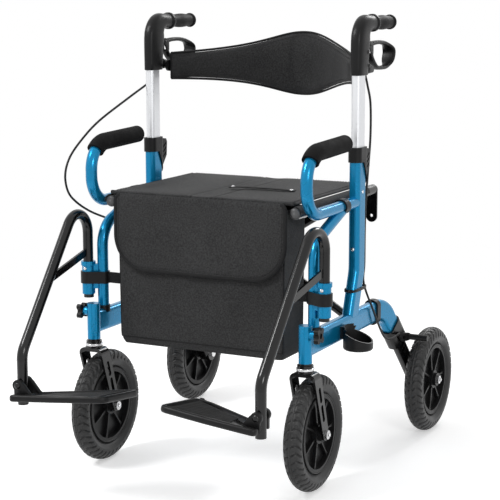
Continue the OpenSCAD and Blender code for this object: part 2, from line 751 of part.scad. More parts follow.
// Brake cable routes, seen on the right side; the left one bows out in front. Points over the
// still height go up and down with the handle housing.
cable_still_z = 600;
cable_high_z = 848;
function lift(z) = z < cable_still_z ? z
    : cable_still_z + (z - cable_still_z) * (housing_z - cable_still_z) / (cable_high_z - cable_still_z);
function lifted(route) = [for (p = route) [p[0], p[1], lift(p[2])]];
route_right = lifted([[258, -18, 846.4], [259, -8, 825], [259, 10, 785], [259, 12, 713], [259, 0, 638],
    [259, -11, 570], [259, -14, 514], [259, -14, 440], [259, -16, 395], [270, 14, 330], [275, 66, 262],
    [279, 106, 248], [284.2, 140.6, 252.9]]);
route_left = lifted([[258, -16, 846.4], [263, -13, 834], [269, -32, 818], [281, -94, 790], [308, -179, 743],
    [320, -231, 707], [328, -272, 669], [330, -289, 632], [330, -280, 595], [327, -254, 569], [318,
        -212, 543],
    [300, -170, 523], [284, -120, 504], [270, -60, 468], [268, -4, 405], [270, 20, 330], [275, 66, 262],
    [279, 106, 248], [284.2, 140.6, 252.9]]);

module cord(route, d, sides, steps) {
    p = smooth(route, steps);
    n = len(p);
    rings = [for (i = [0 : n - 1])
        let (way = unit(pick(p, i + 1) - pick(p, i - 1)), a = unit(cross(way, [1, 0.3, 0.1])),
            b = cross(way, a))
        for (k = [0 : sides - 1]) p[i] + d / 2 * (a * cos(360 * k / sides) + b * sin(360 * k / sides))];
    walls = [for (i = [0 : n - 2]) for (k = [0 : sides - 1]) let (j = (k + 1) % sides)
        each [[i * sides + k, i * sides + j, (i + 1) * sides + j], [i * sides + k, (i + 1) * sides + j,
            (i + 1) * sides + k]]];
    caps = concat([for (k = [1 : sides - 2]) [0, k + 1, k]],
        [for (k = [1 : sides - 2]) [(n - 1) * sides, (n - 1) * sides + k, (n - 1) * sides + k + 1]]);
    polyhedron(rings, [for (f = concat(walls, caps)) [f[2], f[1], f[0]]]);
}

module brake_cable(s) {
    color(black_paint) on_side(s) cord(s < 0 ? route_left : route_right, cable_d, 8, s < 0 ? 2 : 3);
}

fork_in = front_tyre_w / 2 + fork_gap;
crown_z = tyre_d + 7;
front_hub_w = 2 * (fork_in - pass);
rear_boss = 2;
rear_hub_w = 2 * (rear_x - leg_end_x - rail_w / 2 - rear_boss - pass);

// Side view of a fork arm, wide at the crown, pierced twice and round at the axle
module fork_arm(arm_w, tip) {
    slope = unit([front_y - stem_y, wheel_z - crown_z]);
    across = [-slope[1], slope[0]];
    top = [stem_y, crown_z];
    axle = [front_y, wheel_z];
    reach = norm(axle - top);
    difference() {
        union() {
            translate(axle) circle(d = tip);
            polygon([axle + across * tip / 2, axle - across * tip / 2,
                top - across * arm_w / 2, [stem_y - arm_w / 2, crown_z + 10],
                [stem_y + arm_w / 2, crown_z + 10], top + across * arm_w / 2]);
        }
        for (h = [[0.3, 26], [0.62, 30]]) {
            c = top + slope * reach * h[0];
            polygon([c - slope * h[1] / 2 - across * 5, c + slope * h[1] / 2 - across * 5,
                c + slope * h[1] / 2 + across * 5, c - slope * h[1] / 2 + across * 5]);
            for (q = [-1, 1]) translate(c + q * slope * h[1] / 2) circle(5);
        }
    }
}

// Caster fork: one plate bent down over the wheel on both sides, with its stem and bearing rings
module caster_fork(s) {
    arm_w = 32;
    tip = 26;
    half = fork_in + fork_t;
    bend = 13;
    color(black_paint) on_side(s) difference() {
        union() {
            intersection() {
                union() {
                    for (e = [-1, 1]) translate([frame_x + e * (fork_in + fork_t / 2), 0, 0])
                        rotate([90, 0, 90])
                        linear_extrude(fork_t, center = true) fork_arm(arm_w, tip);
                    translate([frame_x - half, stem_y - arm_w / 2, crown_z + 2]) cube([2 * half, arm_w, 8]);
                }
                translate([frame_x, 0, 0]) rotate([90, 0, 0]) linear_extrude(1200, center = true) {
                    for (e = [-1, 1]) translate([e * (half - bend), crown_z + 10 - bend]) circle(bend);
                    translate([-half, 0]) square([2 * half, crown_z + 10 - bend]);
                    translate([bend - half, 0]) square([2 * (half - bend), crown_z + 10]);
                }
            }
            for (e = [-1, 1]) translate([frame_x, stem_y, 0]) rotate([90, 0, 0])
                linear_extrude(arm_w, center = true) difference() {
                    translate([e > 0 ? fork_in - 8 : -fork_in - weld, crown_z - 6]) square([8 + weld,
                        8 + weld]);
                    translate([e * (fork_in - 8), crown_z - 6]) circle(8);
                }
            bar_z(frame_x, stem_y, crown_z + 9, crown_z + 18, 36);
            bar_z(frame_x, stem_y, crown_z + 17, housing_low_z - pass, 27);
            bar_z(frame_x, stem_y, crown_z + 20, housing_low_z - 4, 34);
            bar_z(frame_x, stem_y, crown_z + 5, housing_top_z - 6, stem_d);
        }
        bar_x(frame_x - 60, frame_x + 60, front_y, wheel_z, axle_d + 2 * weld);
    }
}

module axle(x0, x1, y, head) {
    bar_x(x0, x1, y, wheel_z, axle_d);
    bar_x(x1, x1 + 5, y, wheel_z, head);
    bar_x(x0 - 5, x0, y, wheel_z, head);
}

module front_axle(s) {
    color(steel) on_side(s) axle(frame_x - fork_in - fork_t - weld, frame_x + fork_in + fork_t + weld,
        front_y, 19);
}

module rear_axle(s) {
    color(steel) on_side(s) axle(leg_end_x - rail_w / 2 - weld, rear_x + rear_hub_w / 2 + pass, rear_y, 19);
}

// Tyre with a round crown, seated on the rim's channel
module tyre(x, y, w) {
    bead = 13;
    color(rubber) translate([x, y, wheel_z]) rotate([0, 90, 0]) rotate_extrude($fn = 96) {
        translate([rim_d / 2 + weld, -bead]) square([tyre_d / 2 - rim_d / 2 - 16, 2 * bead]);
        intersection() {
            translate([tyre_d / 2 - w / 2 - 2, 0]) {
                circle(w / 2);
                translate([2, 0]) circle(w / 2);
            }
            translate([rim_d / 2 + weld, -w / 2]) square([tyre_d, w]);
        }
    }
}

// Moulded rim: channel, hub and a closed web with thin ribs that flare into the channel
module rim(x, y, face, hub_w) {
    ring_t = 11;
    channel = 30;
    web_r = rim_d / 2 - ring_t + 2;
    root = hub_d / 2 - 3;
    color(plastic) translate([x, y, wheel_z]) rotate([0, 90, 0]) difference() {
        union() {
            rotate_extrude() {
                translate([rim_d / 2 - ring_t, -channel / 2]) square([ring_t - 4, channel]);
                translate([rim_d / 2 - 4.5, -9]) square([4.5, 18]);
                translate([rim_d / 2 - 3, channel / 2 - 1]) circle(2);
                translate([rim_d / 2 - 3, 1 - channel / 2]) circle(2);
                translate([rim_d / 2 - 5, -channel / 2]) square([3, channel]);
                translate([root, -web_t / 2]) square([web_r - root, web_t]);
            }
            translate([0, 0, -hub_w / 2]) cylinder(h = hub_w, d = hub_d * 0.72);
            translate([0, 0, -channel / 2]) cylinder(h = channel, d = hub_d);
            for (k = [0 : rib_count - 1]) rotate([0, 0, 90 + 360 * k / rib_count])
                linear_extrude(channel - 8, center = true)
                    polygon([[root, -2.5], [web_r - 16, -1.6], [web_r - 5, -3.5], [web_r, -8],
                        [web_r, 8], [web_r - 5, 3.5], [web_r - 16, 1.6], [root, 2.5]]);
        }
        cylinder(h = 3 * hub_w, d = axle_d + 2 * run, center = true);
    }
}

module hanger_plane() {
    translate([socket_x, socket_y, 0]) rotate([0, 0, 180 - toe_in]) rotate([90, 0, 90]) children();
}

// Hanger: one bent tube with a flat brace across its legs and the plate's hinge pin
module footrest_hanger(s) {
    tie_u = hoop_end[0] + (hoop_end[1] - tie_end_z) * tan(hanger_lean);
    color(black_paint) on_side(s) {
        hanger_plane() sweep(hanger_path, hoop_r) ring(hanger_d, hanger_wall);
        difference() {
            hanger_plane() translate([0, 0, -2.5]) linear_extrude(5)
                polygon([[0, tie_z + 8], [0, tie_z - 8], [tie_u, tie_end_z - 8], [tie_u, tie_end_z + 8]]);
            hanger_plane() sweep(hanger_path, hoop_r) disc(hanger_d - hanger_wall);
        }
        hanger_plane() translate([hanger_reach, plate_hinge_z, 0]) rotate([0, 90, 0])
            cylinder(h = 2 * (lug_gap + lug_t), d = plate_pin_d, center = true);
    }
}

// Footplate: a tapered tray with two hinge lugs that straddle the hanger
module footplate(s) {
    floor_z = -20 - plate_t;
    edge = 6;
    root_front = plate_root / 2;
    front_in = plate_deep * 0.28;
    color(plastic) on_side(s) translate([plate_x, plate_y, plate_hinge_z]) rotate([0, 0, -toe_in])
        difference() {
        union() {
            rotate([-plate_toe, plate_tilt, 0]) difference() {
                translate([0, 0, floor_z]) linear_extrude(plate_t)
                    polygon([[-hanger_d / 2 - 6, -root_front], [-plate_len, -root_front + 6],
                        [-plate_len - 8, -root_front + 16],
                        [-plate_len - 8, plate_deep - root_front - 8], [-plate_len,
                            plate_deep - root_front],
                        [-plate_len + 20, plate_deep - root_front], [-hanger_d / 2 - 6, root_front]]);
                translate([0, 0, floor_z + plate_t - 2]) linear_extrude(4)
                    polygon([[-48, edge - root_front], [16 - plate_len, edge - root_front + 6],
                        [16 - plate_len, plate_deep - root_front - 14], [-60, root_front - 2]]);
            }
            for (e = [-1, 1]) translate([0, e * (lug_gap + lug_t / 2), 0]) rotate([90, 0, 0])
                linear_extrude(lug_t, center = true) {
                    circle(12);
                    polygon([[8, 8], [8, floor_z + 6], [-hanger_d / 2 - 24, floor_z + 6],
                        [-hanger_d / 2 - 24, floor_z + plate_t], [-8, 10]]);
                }
        }
        bar_y(0, -60, 60, 0, plate_pin_d + 2 * run);
    }
}

// Star knob with four lobes and a stud
module clamp_knob(s) {
    color(plastic) on_side(s) translate([knob_boss_x + pass, stem_y, knob_z]) rotate([0, 90, 0])
        difference() {
        union() {
            cylinder(h = 12, d = 22);
            for (k = [0 : 3]) rotate([0, 0, 45 + 90 * k]) {
                translate([13, 0, 2]) cylinder(h = 10, d = 12);
                translate([0, -6, 2]) cube([13, 12, 10]);
            }
            translate([0, 0, -knob_hole + 0.5]) cylinder(h = knob_hole, d = knob_stud_d);
        }
        translate([0, 0, 9]) cylinder(h = 5, d = 12);
    }
}

// Cross arm with its lower eye, welded to the seat rail that it lifts
module cross_arm(s) {
    y = s < 0 ? arm_b_y : arm_a_y;
    color(black_paint) on_side(s) {
        difference() {
            union() {
                translate([-pivot_x, y, pivot_z]) rotate([0, 90 - brace_angle, 0])
                    cylinder(h = brace_len, d = brace_d);
                bar_y(-pivot_x, y - eye_w / 2, y + eye_w / 2, pivot_z, brace_d);
                bar_y(pivot_x, seat_front_y + 4, seat_rail_rear_y, seat_rail_z, seat_rail_d);
            }
            for (e = [-1, 1]) translate([-pivot_x, y + e * brace_d, pivot_z]) rotate([0,
                90 - brace_angle, 0])
                translate([0, 0, 0]) cube([60, 2 * brace_d - eye_w, 26], center = true);
            bar_y(-pivot_x, y - brace_d, y + brace_d, pivot_z, fold_pin_d + 2 * run);
            translate([0, y, (pivot_z + seat_rail_z) / 2]) rotate([90, 0, 0]) cylinder(h = 60,
                d = fold_pin_d + (s < 0 ? 2 * run : 0), center = true);
        }
        if (s > 0) bar_y(0, arm_a_y - brace_d / 2 - 3, arm_b_y + brace_d / 2 + 3,
            (pivot_z + seat_rail_z) / 2, fold_pin_d);
        translate([pivot_x, seat_rail_rear_y - 4, seat_rail_z]) rotate([90, 0, 0]) linear_extrude(4,
            center = true) difference() {
            union() {
                translate([-13, -60]) square([26, 60]);
                translate([0, -60]) circle(13);
            }
            translate([0, -58]) circle(3.5);
        }
    }
}

// Seat half: a thin padded panel whose hem rolls over its rail; its inner edge slants
// back below so that the halves can rise to a ridge
module seat_half(s) {
    rail_r = seat_rail_d / 2 + pass;
    edge = 5;
    slant = 14;
    in = seat_split / 2;
    len_y = seat_rear_y - seat_front_y;
    color(cloth) on_side(s) translate([0, seat_rear_y, 0]) rotate([90, 0, 0]) linear_extrude(len_y) {
        polygon([[in + edge, seat_top_z], [in + slant, seat_low_z], [pivot_x, seat_low_z], [pivot_x,
            seat_top_z]]);
        polygon([[in + edge, seat_top_z], [in + 1.2, seat_top_z - edge + 3.2], [in + slant, seat_low_z],
            [in + slant, seat_top_z]]);
        translate([pivot_x, seat_top_z - edge]) circle(edge);
        translate([pivot_x - 1, seat_low_z]) square([edge + 1, seat_t - edge]);
        translate([pivot_x, seat_rail_z]) intersection() {
            difference() {
                circle(rail_r + hem_t);
                circle(rail_r);
            }
            translate([-2, 0]) square([13, rail_r + hem_t]);
        }
    }
}

module backrest_bracket(s) {
    color(plastic) on_side(s) difference() {
        translate([bracket_x, 0, 0]) rotate([90, 0, 90]) linear_extrude(bracket_t) {
            translate([back_pin_y, back_z]) circle(12);
            polygon([[back_pin_y, back_z + 12], [back_pin_y, back_z - 12], [bracket_end_y, back_z - 15],
                [bracket_end_y, back_z + 15]]);
        }
        bar_x(bracket_x - 10, bracket_x + 20, back_pin_y, back_z, back_pin_d + 2 * run);
    }
}

// Padded backrest: a band on a deep curve, tall in its middle, with a crowned face
function back_curve(x) = back_start_y + back_depth * (1 - pow(x / (back_x + 8), 2));
function back_height(x) = back_end_h + (back_mid_h - back_end_h) / (1 + pow(abs(x) / 115, 2.2));
function back_pad(x) = back_edge_t + (back_t - back_edge_t) * pow(cos(90 * x / (back_x + 8)), 0.8);

module backrest() {
    stations = 28;
    sides = 20;
    points = [for (i = [0 : stations]) let (
        x = back_x * sin(90 * (2 * i / stations - 1)),
        way = unit([1, -2 * back_depth * x / pow(back_x + 8, 2)]))
        for (k = [0 : sides - 1]) let (
            a = 360 * k / sides,
            w = back_pad(x) / 2 * sign(cos(a)) * pow(abs(cos(a)), 0.8),
            h = back_height(x) / 2 * sign(sin(a)) * pow(abs(sin(a)), 0.55))
            [x - way[1] * w, back_curve(x) + way[0] * w, back_z + h]];
    walls = [for (i = [0 : stations - 1]) for (k = [0 : sides - 1]) let (j = (k + 1) % sides)
        each [[i * sides + k, (i + 1) * sides + j, i * sides + j],
            [i * sides + k, (i + 1) * sides + k, (i + 1) * sides + j]]];
    last = stations * sides;
    caps = concat([for (k = [1 : sides - 2]) [0, k, k + 1]],
        [for (k = [1 : sides - 2]) [last, last + k + 1, last + k]]);
    color(cloth) translate([0, origin_y, 0]) polyhedron(points, concat(walls, caps));
}

bag_top_z = seat_rail_z - seat_rail_d / 2 - 3;
flap_top_z = seat_top_z - 2;
bag_front_y = seat_front_y - 4;

// Storage bag: an open-topped soft box that narrows towards its bottom
module bag_block(inset, low, top) {
    hull() for (x = [-1, 1]) for (y = [0, 1]) {
        translate([x * (bag_x - 8 - inset), bag_front_y + inset + 8 + y * (bag_deep - 16 - 2 * inset),
            top - 2])
            cylinder(h = 2, r = 8, $fn = 24);
        translate([x * (bag_x - 15 - inset), bag_front_y + inset + 12 + y * (bag_deep - 24 - 2 * inset),
            low + 12])
            sphere(12, $fn = 20);
    }
}

tab_x = frame_x - strut_d / 2 - band_t - pass;
tab_z = 410;

module bag() {
    color(cloth) translate([0, origin_y, 0]) difference() {
        union() {
            bag_block(0, bag_low_z, bag_top_z);
            for (e = [-1, 1]) translate([e * (bag_x - 8 + tab_x) / 2, strut_y, tab_z])
                cube([tab_x - bag_x + 8, 3, 26], center = true);
        }
        bag_block(4, bag_low_z + 4, bag_top_z + 4);
    }
}

module bag_flap() {
    corner = 46;
    t = 5;
    flap_x = bag_x + 5;
    color(cloth) translate([0, origin_y, 0]) translate([0, bag_front_y - pass, 0]) rotate([90, 0, 0])
        linear_extrude(t) {
        translate([-flap_x, flap_low_z + corner]) square([2 * flap_x, flap_top_z - flap_low_z - corner]);
        translate([corner - flap_x, flap_low_z]) square([2 * (flap_x - corner), corner + 1]);
        for (e = [-1, 1]) translate([e * (flap_x - corner), flap_low_z + corner]) circle(corner);
    }
}

cup_x = frame_x + rail_w / 2 + 4 + cup_d / 2;
cup_y = -146;
cup_mid_z = 309;

// Cane cup: a short pot with a slanted rim and a bracket on the rail
module cane_cup() {
    color(plastic) translate([0, origin_y, 0]) difference() {
        union() {
            translate([cup_x, cup_y, cup_low_z]) rotate_extrude() {
                square([cup_d / 2 - 6, 50]);
                translate([0, 6]) square([cup_d / 2, 44]);
                translate([cup_d / 2 - 6, 6]) circle(6);
            }
            translate([frame_x + rail_w / 2 + weld, cup_y - 13, rail_z - 16]) cube([cup_d / 2, 26, 26]);
        }
        bar_z(cup_x, cup_y, cup_low_z + cup_wall, cup_low_z + 90, cup_d - 2 * cup_wall);
        translate([cup_x, cup_y, cup_mid_z]) rotate([0, 21, 0]) translate([-20, -60, 0]) cube([90, 120,
            90]);
        translate([cup_x - 20, cup_y - 60, rail_z + 7]) cube([90, 120, 90]);
    }
}

lower_rail(-1);  // left_lower_rail
lower_rail(1);  // right_lower_rail
rear_leg(-1);  // left_rear_leg
rear_leg(1);  // right_rear_leg
rear_fork(-1);  // left_rear_fork
rear_fork(1);  // right_rear_fork
upright(-1);  // left_upright
upright(1);  // right_upright
armrest_tube(-1);  // left_armrest_tube
armrest_tube(1);  // right_armrest_tube
armrest_pad(-1);  // left_armrest_pad
armrest_pad(1);  // right_armrest_pad
front_strut(-1);  // left_front_strut
front_strut(1);  // right_front_strut
frame_fittings(-1);  // left_frame_fittings
frame_fittings(1);  // right_frame_fittings
height_collar(-1);  // left_height_collar
height_collar(1);  // right_height_collar
handle_tube(-1);  // left_handle_tube
handle_tube(1);  // right_handle_tube
handle_housing(-1);  // left_handle_housing
handle_housing(1);  // right_handle_housing
hand_grip(-1);  // left_hand_grip
hand_grip(1);  // right_hand_grip
brake_lever(-1);  // left_brake_lever
brake_lever(1);  // right_brake_lever
brake_cable(-1);  // left_brake_cable
brake_cable(1);  // right_brake_cable
brake_arm(-1);  // left_brake_arm
brake_arm(1);  // right_brake_arm
caster_fork(-1);  // left_caster_fork
caster_fork(1);  // right_caster_fork
front_axle(-1);  // left_front_axle
front_axle(1);  // right_front_axle
on_side(-1) rim(frame_x, front_y, 1, front_hub_w);  // left_front_rim
on_side(1) rim(frame_x, front_y, 1, front_hub_w);  // right_front_rim
on_side(-1) tyre(frame_x, front_y, front_tyre_w);  // left_front_tyre
on_side(1) tyre(frame_x, front_y, front_tyre_w);  // right_front_tyre
rear_axle(-1);  // left_rear_axle
rear_axle(1);  // right_rear_axle
on_side(-1) rim(rear_x, rear_y, 1, rear_hub_w);  // left_rear_rim
on_side(1) rim(rear_x, rear_y, 1, rear_hub_w);  // right_rear_rim
on_side(-1) tyre(rear_x, rear_y, tyre_w);  // left_rear_tyre
on_side(1) tyre(rear_x, rear_y, tyre_w);  // right_rear_tyre
footrest_hanger(-1);  // left_footrest_hanger
footrest_hanger(1);  // right_footrest_hanger
footplate(-1);  // left_footplate
footplate(1);  // right_footplate
clamp_knob(-1);  // left_clamp_knob
clamp_knob(1);  // right_clamp_knob
cross_arm(-1);  // left_cross_arm
cross_arm(1);  // right_cross_arm
seat_half(-1);  // left_seat_half
seat_half(1);  // right_seat_half
backrest_bracket(-1);  // left_backrest_bracket
backrest_bracket(1);  // right_backrest_bracket
backrest();
bag();
bag_flap();
cane_cup();
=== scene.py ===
# %% [markdown]
# # A rollator transport chair
# The chair has a blue tube frame that folds sideways, black fittings, silver handle tubes, a sling seat, a curved
# padded backrest and a bag. The rigid pieces come from the CAD model. This lesson gives them finishes, and builds in
# mesh code what a CAD solid can't be: treads, padding, cloth, stitches, cables and small hardware.

# %% Load the frame
import json
import math

import bmesh
import bpy
from mathutils import Matrix, Vector
from mathutils.bvhtree import BVHTree


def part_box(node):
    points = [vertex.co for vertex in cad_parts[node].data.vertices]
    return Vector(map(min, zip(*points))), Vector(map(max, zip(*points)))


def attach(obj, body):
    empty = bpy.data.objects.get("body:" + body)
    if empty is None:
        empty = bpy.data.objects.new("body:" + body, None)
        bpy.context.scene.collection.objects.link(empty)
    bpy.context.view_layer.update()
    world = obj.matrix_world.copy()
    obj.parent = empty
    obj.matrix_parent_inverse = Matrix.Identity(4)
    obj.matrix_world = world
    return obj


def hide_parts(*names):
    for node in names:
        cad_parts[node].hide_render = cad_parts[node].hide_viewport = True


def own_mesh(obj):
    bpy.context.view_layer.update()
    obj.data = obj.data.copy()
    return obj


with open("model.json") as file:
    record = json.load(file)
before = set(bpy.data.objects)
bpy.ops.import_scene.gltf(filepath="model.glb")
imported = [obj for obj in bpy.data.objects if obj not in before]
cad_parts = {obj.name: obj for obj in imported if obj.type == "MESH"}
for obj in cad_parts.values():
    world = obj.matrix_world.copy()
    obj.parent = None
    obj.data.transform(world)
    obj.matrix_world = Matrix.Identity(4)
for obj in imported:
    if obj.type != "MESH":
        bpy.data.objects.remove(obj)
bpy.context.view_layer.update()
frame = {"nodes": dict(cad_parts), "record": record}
nodes = frame["nodes"]
scene = bpy.context.scene
scene.view_settings.view_transform = "Standard"
SIDES = (("left", -1), ("right", 1))
print("nodes loaded:", len(nodes))

# %% [markdown]
# ## Millimetres
# The chair was measured in millimetres, with y counted from the middle between the front and rear wheels' contact
# points. One helper turns such a point into the frame's metres, so that the numbers here can be compared with the
# drawing.

# %% A point in millimetres
DRAWING_Y = 104.45
ACROSS_X, ALONG_Y, UP_Z, TO_FRONT = (1, 0, 0), (0, 1, 0), (0, 0, 1), (0, -1, 0)


def mm(x, y, z):
    return Vector((x, y + DRAWING_Y, z)) / 1000


print("the drawing's origin lies at", [round(c, 5) for c in mm(0, 0, 0)])

# %% [markdown]
# ## Camera
# The camera stands a little higher than the grips, about 3.4 metres off and 26 degrees round to the viewer's right.
# Its lens is long, so the two sides stay nearly parallel. A small sideways shift settles the chair in the frame.

# %% Camera
camera = bpy.data.objects.new("camera", bpy.data.cameras.new("camera"))
scene.collection.objects.link(camera)
camera.location = mm(1475.2, -3009.2, 1026.1)
camera.rotation_euler = (mm(0, 0, 446.6) - camera.location).to_track_quat("-Z", "Y").to_euler()
camera.data.sensor_width = 36
camera.data.lens = 108.17
camera.data.shift_x = -0.0212
scene.camera = camera
print("camera at", [round(c, 3) for c in camera.location])

# %% [markdown]
# ## Studio
# A white sweep with soft light from the upper left, as in a catalogue. The floor is a dull white that takes the
# chair's shadow, and for the camera and for reflections it also glows by itself, so that it comes out white. Further
# from the chair the glow takes over, and the floor meets the white world without a line. The lamps stay at a level
# that leaves colours as they are written. A few helpers come first, which add a node and feed its sockets, each with
# a value or with a link.

# %% Node helpers


def put(tree, socket, value):
    if isinstance(value, bpy.types.NodeSocket):
        tree.links.new(value, socket)
    else:
        socket.default_value = value


def feed(tree, node, **values):
    for name, value in values.items():
        put(tree, node.inputs[name.replace("_", " ")], value)


def add(tree, kind, **values):
    node = tree.nodes.new("ShaderNode" + kind)
    feed(tree, node, **values)
    return node


def sums(tree, operation, a, b):
    node = add(tree, "Math")
    node.operation = operation
    put(tree, node.inputs[0], a)
    put(tree, node.inputs[1], b)
    return node.outputs[0]


print("node helpers ready")

# %% World


def seen_or_mirrored(tree):
    ray = add(tree, "LightPath").outputs
    either = sums(tree, "MAXIMUM", ray["Is Camera Ray"], ray["Is Glossy Ray"])
    return sums(tree, "MAXIMUM", either, ray["Is Transmission Ray"])


def build_world():
    world = bpy.data.worlds.new("studio")
    world.use_nodes = True
    tree = world.node_tree
    strength = add(tree, "MapRange", Value=seen_or_mirrored(tree), To_Min=0.5, To_Max=1.0)
    feed(tree, tree.nodes["Background"], Color=(1, 1, 1, 1), Strength=strength.outputs["Result"])
    scene.world = world


build_world()
print("world:", scene.world.name)

# %% Floor
GLOW_FROM, GLOW_FULL = 0.9, 2.2


def build_floor():
    mesh = bpy.data.meshes.new("floor")
    mesh.from_pydata([(-30, -30, 0), (30, -30, 0), (30, 30, 0), (-30, 30, 0)], [], [(0, 1, 2, 3)])
    floor = bpy.data.objects.new("floor", mesh)
    scene.collection.objects.link(floor)
    floor.location.z = -0.0006
    paint = bpy.data.materials.new("white sweep")
    paint.use_nodes = True
    tree = paint.node_tree
    tree.nodes.clear()
    away = add(tree, "VectorMath")
    away.operation = "LENGTH"
    put(tree, away.inputs[0], add(tree, "NewGeometry").outputs["Position"])

    def fade(near, far):
        reach = {"From_Min": GLOW_FROM, "From_Max": GLOW_FULL, "To_Min": near, "To_Max": far}
        return add(tree, "MapRange", Value=away.outputs["Value"], **reach).outputs["Result"]

    dull = add(tree, "BsdfDiffuse", Color=fade(0.95, 0.0))
    glow = add(tree, "Emission", Strength=sums(tree, "MULTIPLY", fade(0.4, 1.0), seen_or_mirrored(tree)))
    both = add(tree, "AddShader")
    put(tree, both.inputs[0], dull.outputs[0])
    put(tree, both.inputs[1], glow.outputs[0])
    add(tree, "OutputMaterial", Surface=both.outputs[0])
    mesh.materials.append(paint)


build_floor()
print("floor glows fully from", GLOW_FULL, "m")

# %% Lamps
LAMPS = {
    "key": ((-1.9, -1.9, 2.9), (0, 0, 0.4), 0.9, 62),
    "fill": ((2.6, -2.2, 1.7), (0, 0, 0.45), 0.9, 26),
    "rim": ((0.4, 2.8, 2.4), (0, 0, 0.5), 1.0, 30),
}
for name, (stand, aim, size, power) in LAMPS.items():
    lamp = bpy.data.objects.new(name, bpy.data.lights.new(name, "AREA"))
    scene.collection.objects.link(lamp)
    lamp.data.size = size
    lamp.data.energy = power
    lamp.location = stand
    lamp.rotation_euler = (Vector(aim) - lamp.location).to_track_quat("-Z", "Y").to_euler()
print("lamps:", ", ".join(LAMPS))

# %% [markdown]
# ## Shared effects
# Three effects come back on many surfaces, so each is a node group with its own inputs. Fine grain gives moulded
# plastic its dull, slightly pebbled skin. Dust settles thinly on faces that look up, and in patches. The weave gives
# nylon its crossing threads, with a slow change in shade where the cloth has been handled.

# %% Groups, noise and mixing
FLOAT, COLOUR = "NodeSocketFloat", "NodeSocketColor"


def new_group(name, inputs, outputs):
    group = bpy.data.node_groups.new(name, "ShaderNodeTree")
    for socket, kind, value in inputs:
        group.interface.new_socket(socket, in_out="INPUT", socket_type=kind).default_value = value
    for socket, kind in outputs:
        group.interface.new_socket(socket, in_out="OUTPUT", socket_type=kind)
    return group, group.nodes.new("NodeGroupInput"), group.nodes.new("NodeGroupOutput")


def noise(tree, scale, detail=2.0):
    spot = add(tree, "TexCoord").outputs["Object"]
    return add(tree, "TexNoise", Vector=spot, Scale=scale, Detail=detail).outputs["Fac"]


def remap(tree, value, low, high):
    return add(tree, "MapRange", Value=value, From_Min=0.3, From_Max=0.7, To_Min=low, To_Max=high).outputs["Result"]


def mixed(tree, factor, a, b):
    node = add(tree, "Mix")
    node.data_type = "RGBA"
    feed(tree, node, Factor=factor)
    put(tree, node.inputs[6], a)
    put(tree, node.inputs[7], b)
    return node.outputs[2]


print("group helpers ready")

# %% Grain


def build_grain():
    group, take, give = new_group(
        "fine grain",
        (("Grains per metre", FLOAT, 900.0), ("Roughness low", FLOAT, 0.45), ("Roughness high", FLOAT, 0.6)),
        (("Height", FLOAT), ("Roughness", FLOAT)),
    )
    low, high = take.outputs["Roughness low"], take.outputs["Roughness high"]
    feed(group, give, Height=noise(group, take.outputs["Grains per metre"]))
    feed(group, give, Roughness=remap(group, noise(group, 26.0, 4.0), low, high))
    return group


grain_group = build_grain()
print("group:", grain_group.name)

# %% Dust


def build_dust():
    group, take, give = new_group(
        "settled dust",
        (("Colour", COLOUR, (0.02, 0.02, 0.02, 1)), ("Dust", COLOUR, (0.2, 0.19, 0.18, 1)), ("Amount", FLOAT, 0.1)),
        (("Colour", COLOUR),),
    )
    split = add(group, "SeparateXYZ")
    put(group, split.inputs[0], add(group, "NewGeometry").outputs["Normal"])
    upward = sums(group, "MAXIMUM", split.outputs["Z"], 0.25)
    patches = remap(group, noise(group, 34.0, 5.0), 0.2, 1.0)
    share = sums(group, "MULTIPLY", sums(group, "MULTIPLY", upward, patches), take.outputs["Amount"])
    feed(group, give, Colour=mixed(group, share, take.outputs["Colour"], take.outputs["Dust"]))
    return group


dust_group = build_dust()
print("group:", dust_group.name)

# %% Weave


def build_weave():
    group, take, give = new_group(
        "nylon weave",
        (
            ("Threads per metre", FLOAT, 800.0),
            ("Thread", COLOUR, (0.03, 0.03, 0.031, 1)),
            ("Handled", COLOUR, (0.045, 0.045, 0.046, 1)),
        ),
        (("Colour", COLOUR), ("Height", FLOAT)),
    )
    split = add(group, "SeparateXYZ")
    put(group, split.inputs[0], add(group, "TexCoord").outputs["Object"])
    across = sums(group, "ADD", split.outputs["X"], sums(group, "MULTIPLY", split.outputs["Y"], 0.7))
    along = sums(group, "ADD", split.outputs["Z"], sums(group, "MULTIPLY", split.outputs["Y"], 0.7))
    turns = sums(group, "MULTIPLY", take.outputs["Threads per metre"], math.pi)
    warp = sums(group, "SINE", sums(group, "MULTIPLY", across, turns), 0)
    weft = sums(group, "SINE", sums(group, "MULTIPLY", along, turns), 0)
    cross = sums(group, "MULTIPLY", warp, weft)
    fuzz = noise(group, 1600.0, 1.0)
    feed(group, give, Height=sums(group, "ADD", sums(group, "MULTIPLY", cross, 0.5), fuzz))
    slow = remap(group, noise(group, 9.0, 5.0), 0.0, 1.0)
    fleck = remap(group, noise(group, 330.0, 3.0), -0.2, 0.9)
    share = sums(group, "ADD", sums(group, "MULTIPLY", slow, 0.35), sums(group, "MULTIPLY", fleck, 0.75))
    feed(group, give, Colour=mixed(group, share, take.outputs["Thread"], take.outputs["Handled"]))
    return group


weave_group = build_weave()
print("group:", weave_group.name)

# %% [markdown]
# ## Finishes
# Every finish is a Principled shader whose colour, roughness and bump come from the groups. The blue is a metallic
# paint under a clear coat. The hangers and forks have a glossier black powder coat than the moulded fittings. The
# foam, grips, tyres and nylon are all black too, so it is their gloss and grain that tells them apart.

# %% Material makers


def place(tree, group, **values):
    node = add(tree, "Group")
    node.node_tree = group
    feed(tree, node, **values)
    return node.outputs


def new_material(name, **fixed):
    material = bpy.data.materials.new(name)
    material.use_nodes = True
    tree = material.node_tree
    shader = tree.nodes["Principled BSDF"]
    feed(tree, shader, **fixed)
    return material, tree, shader


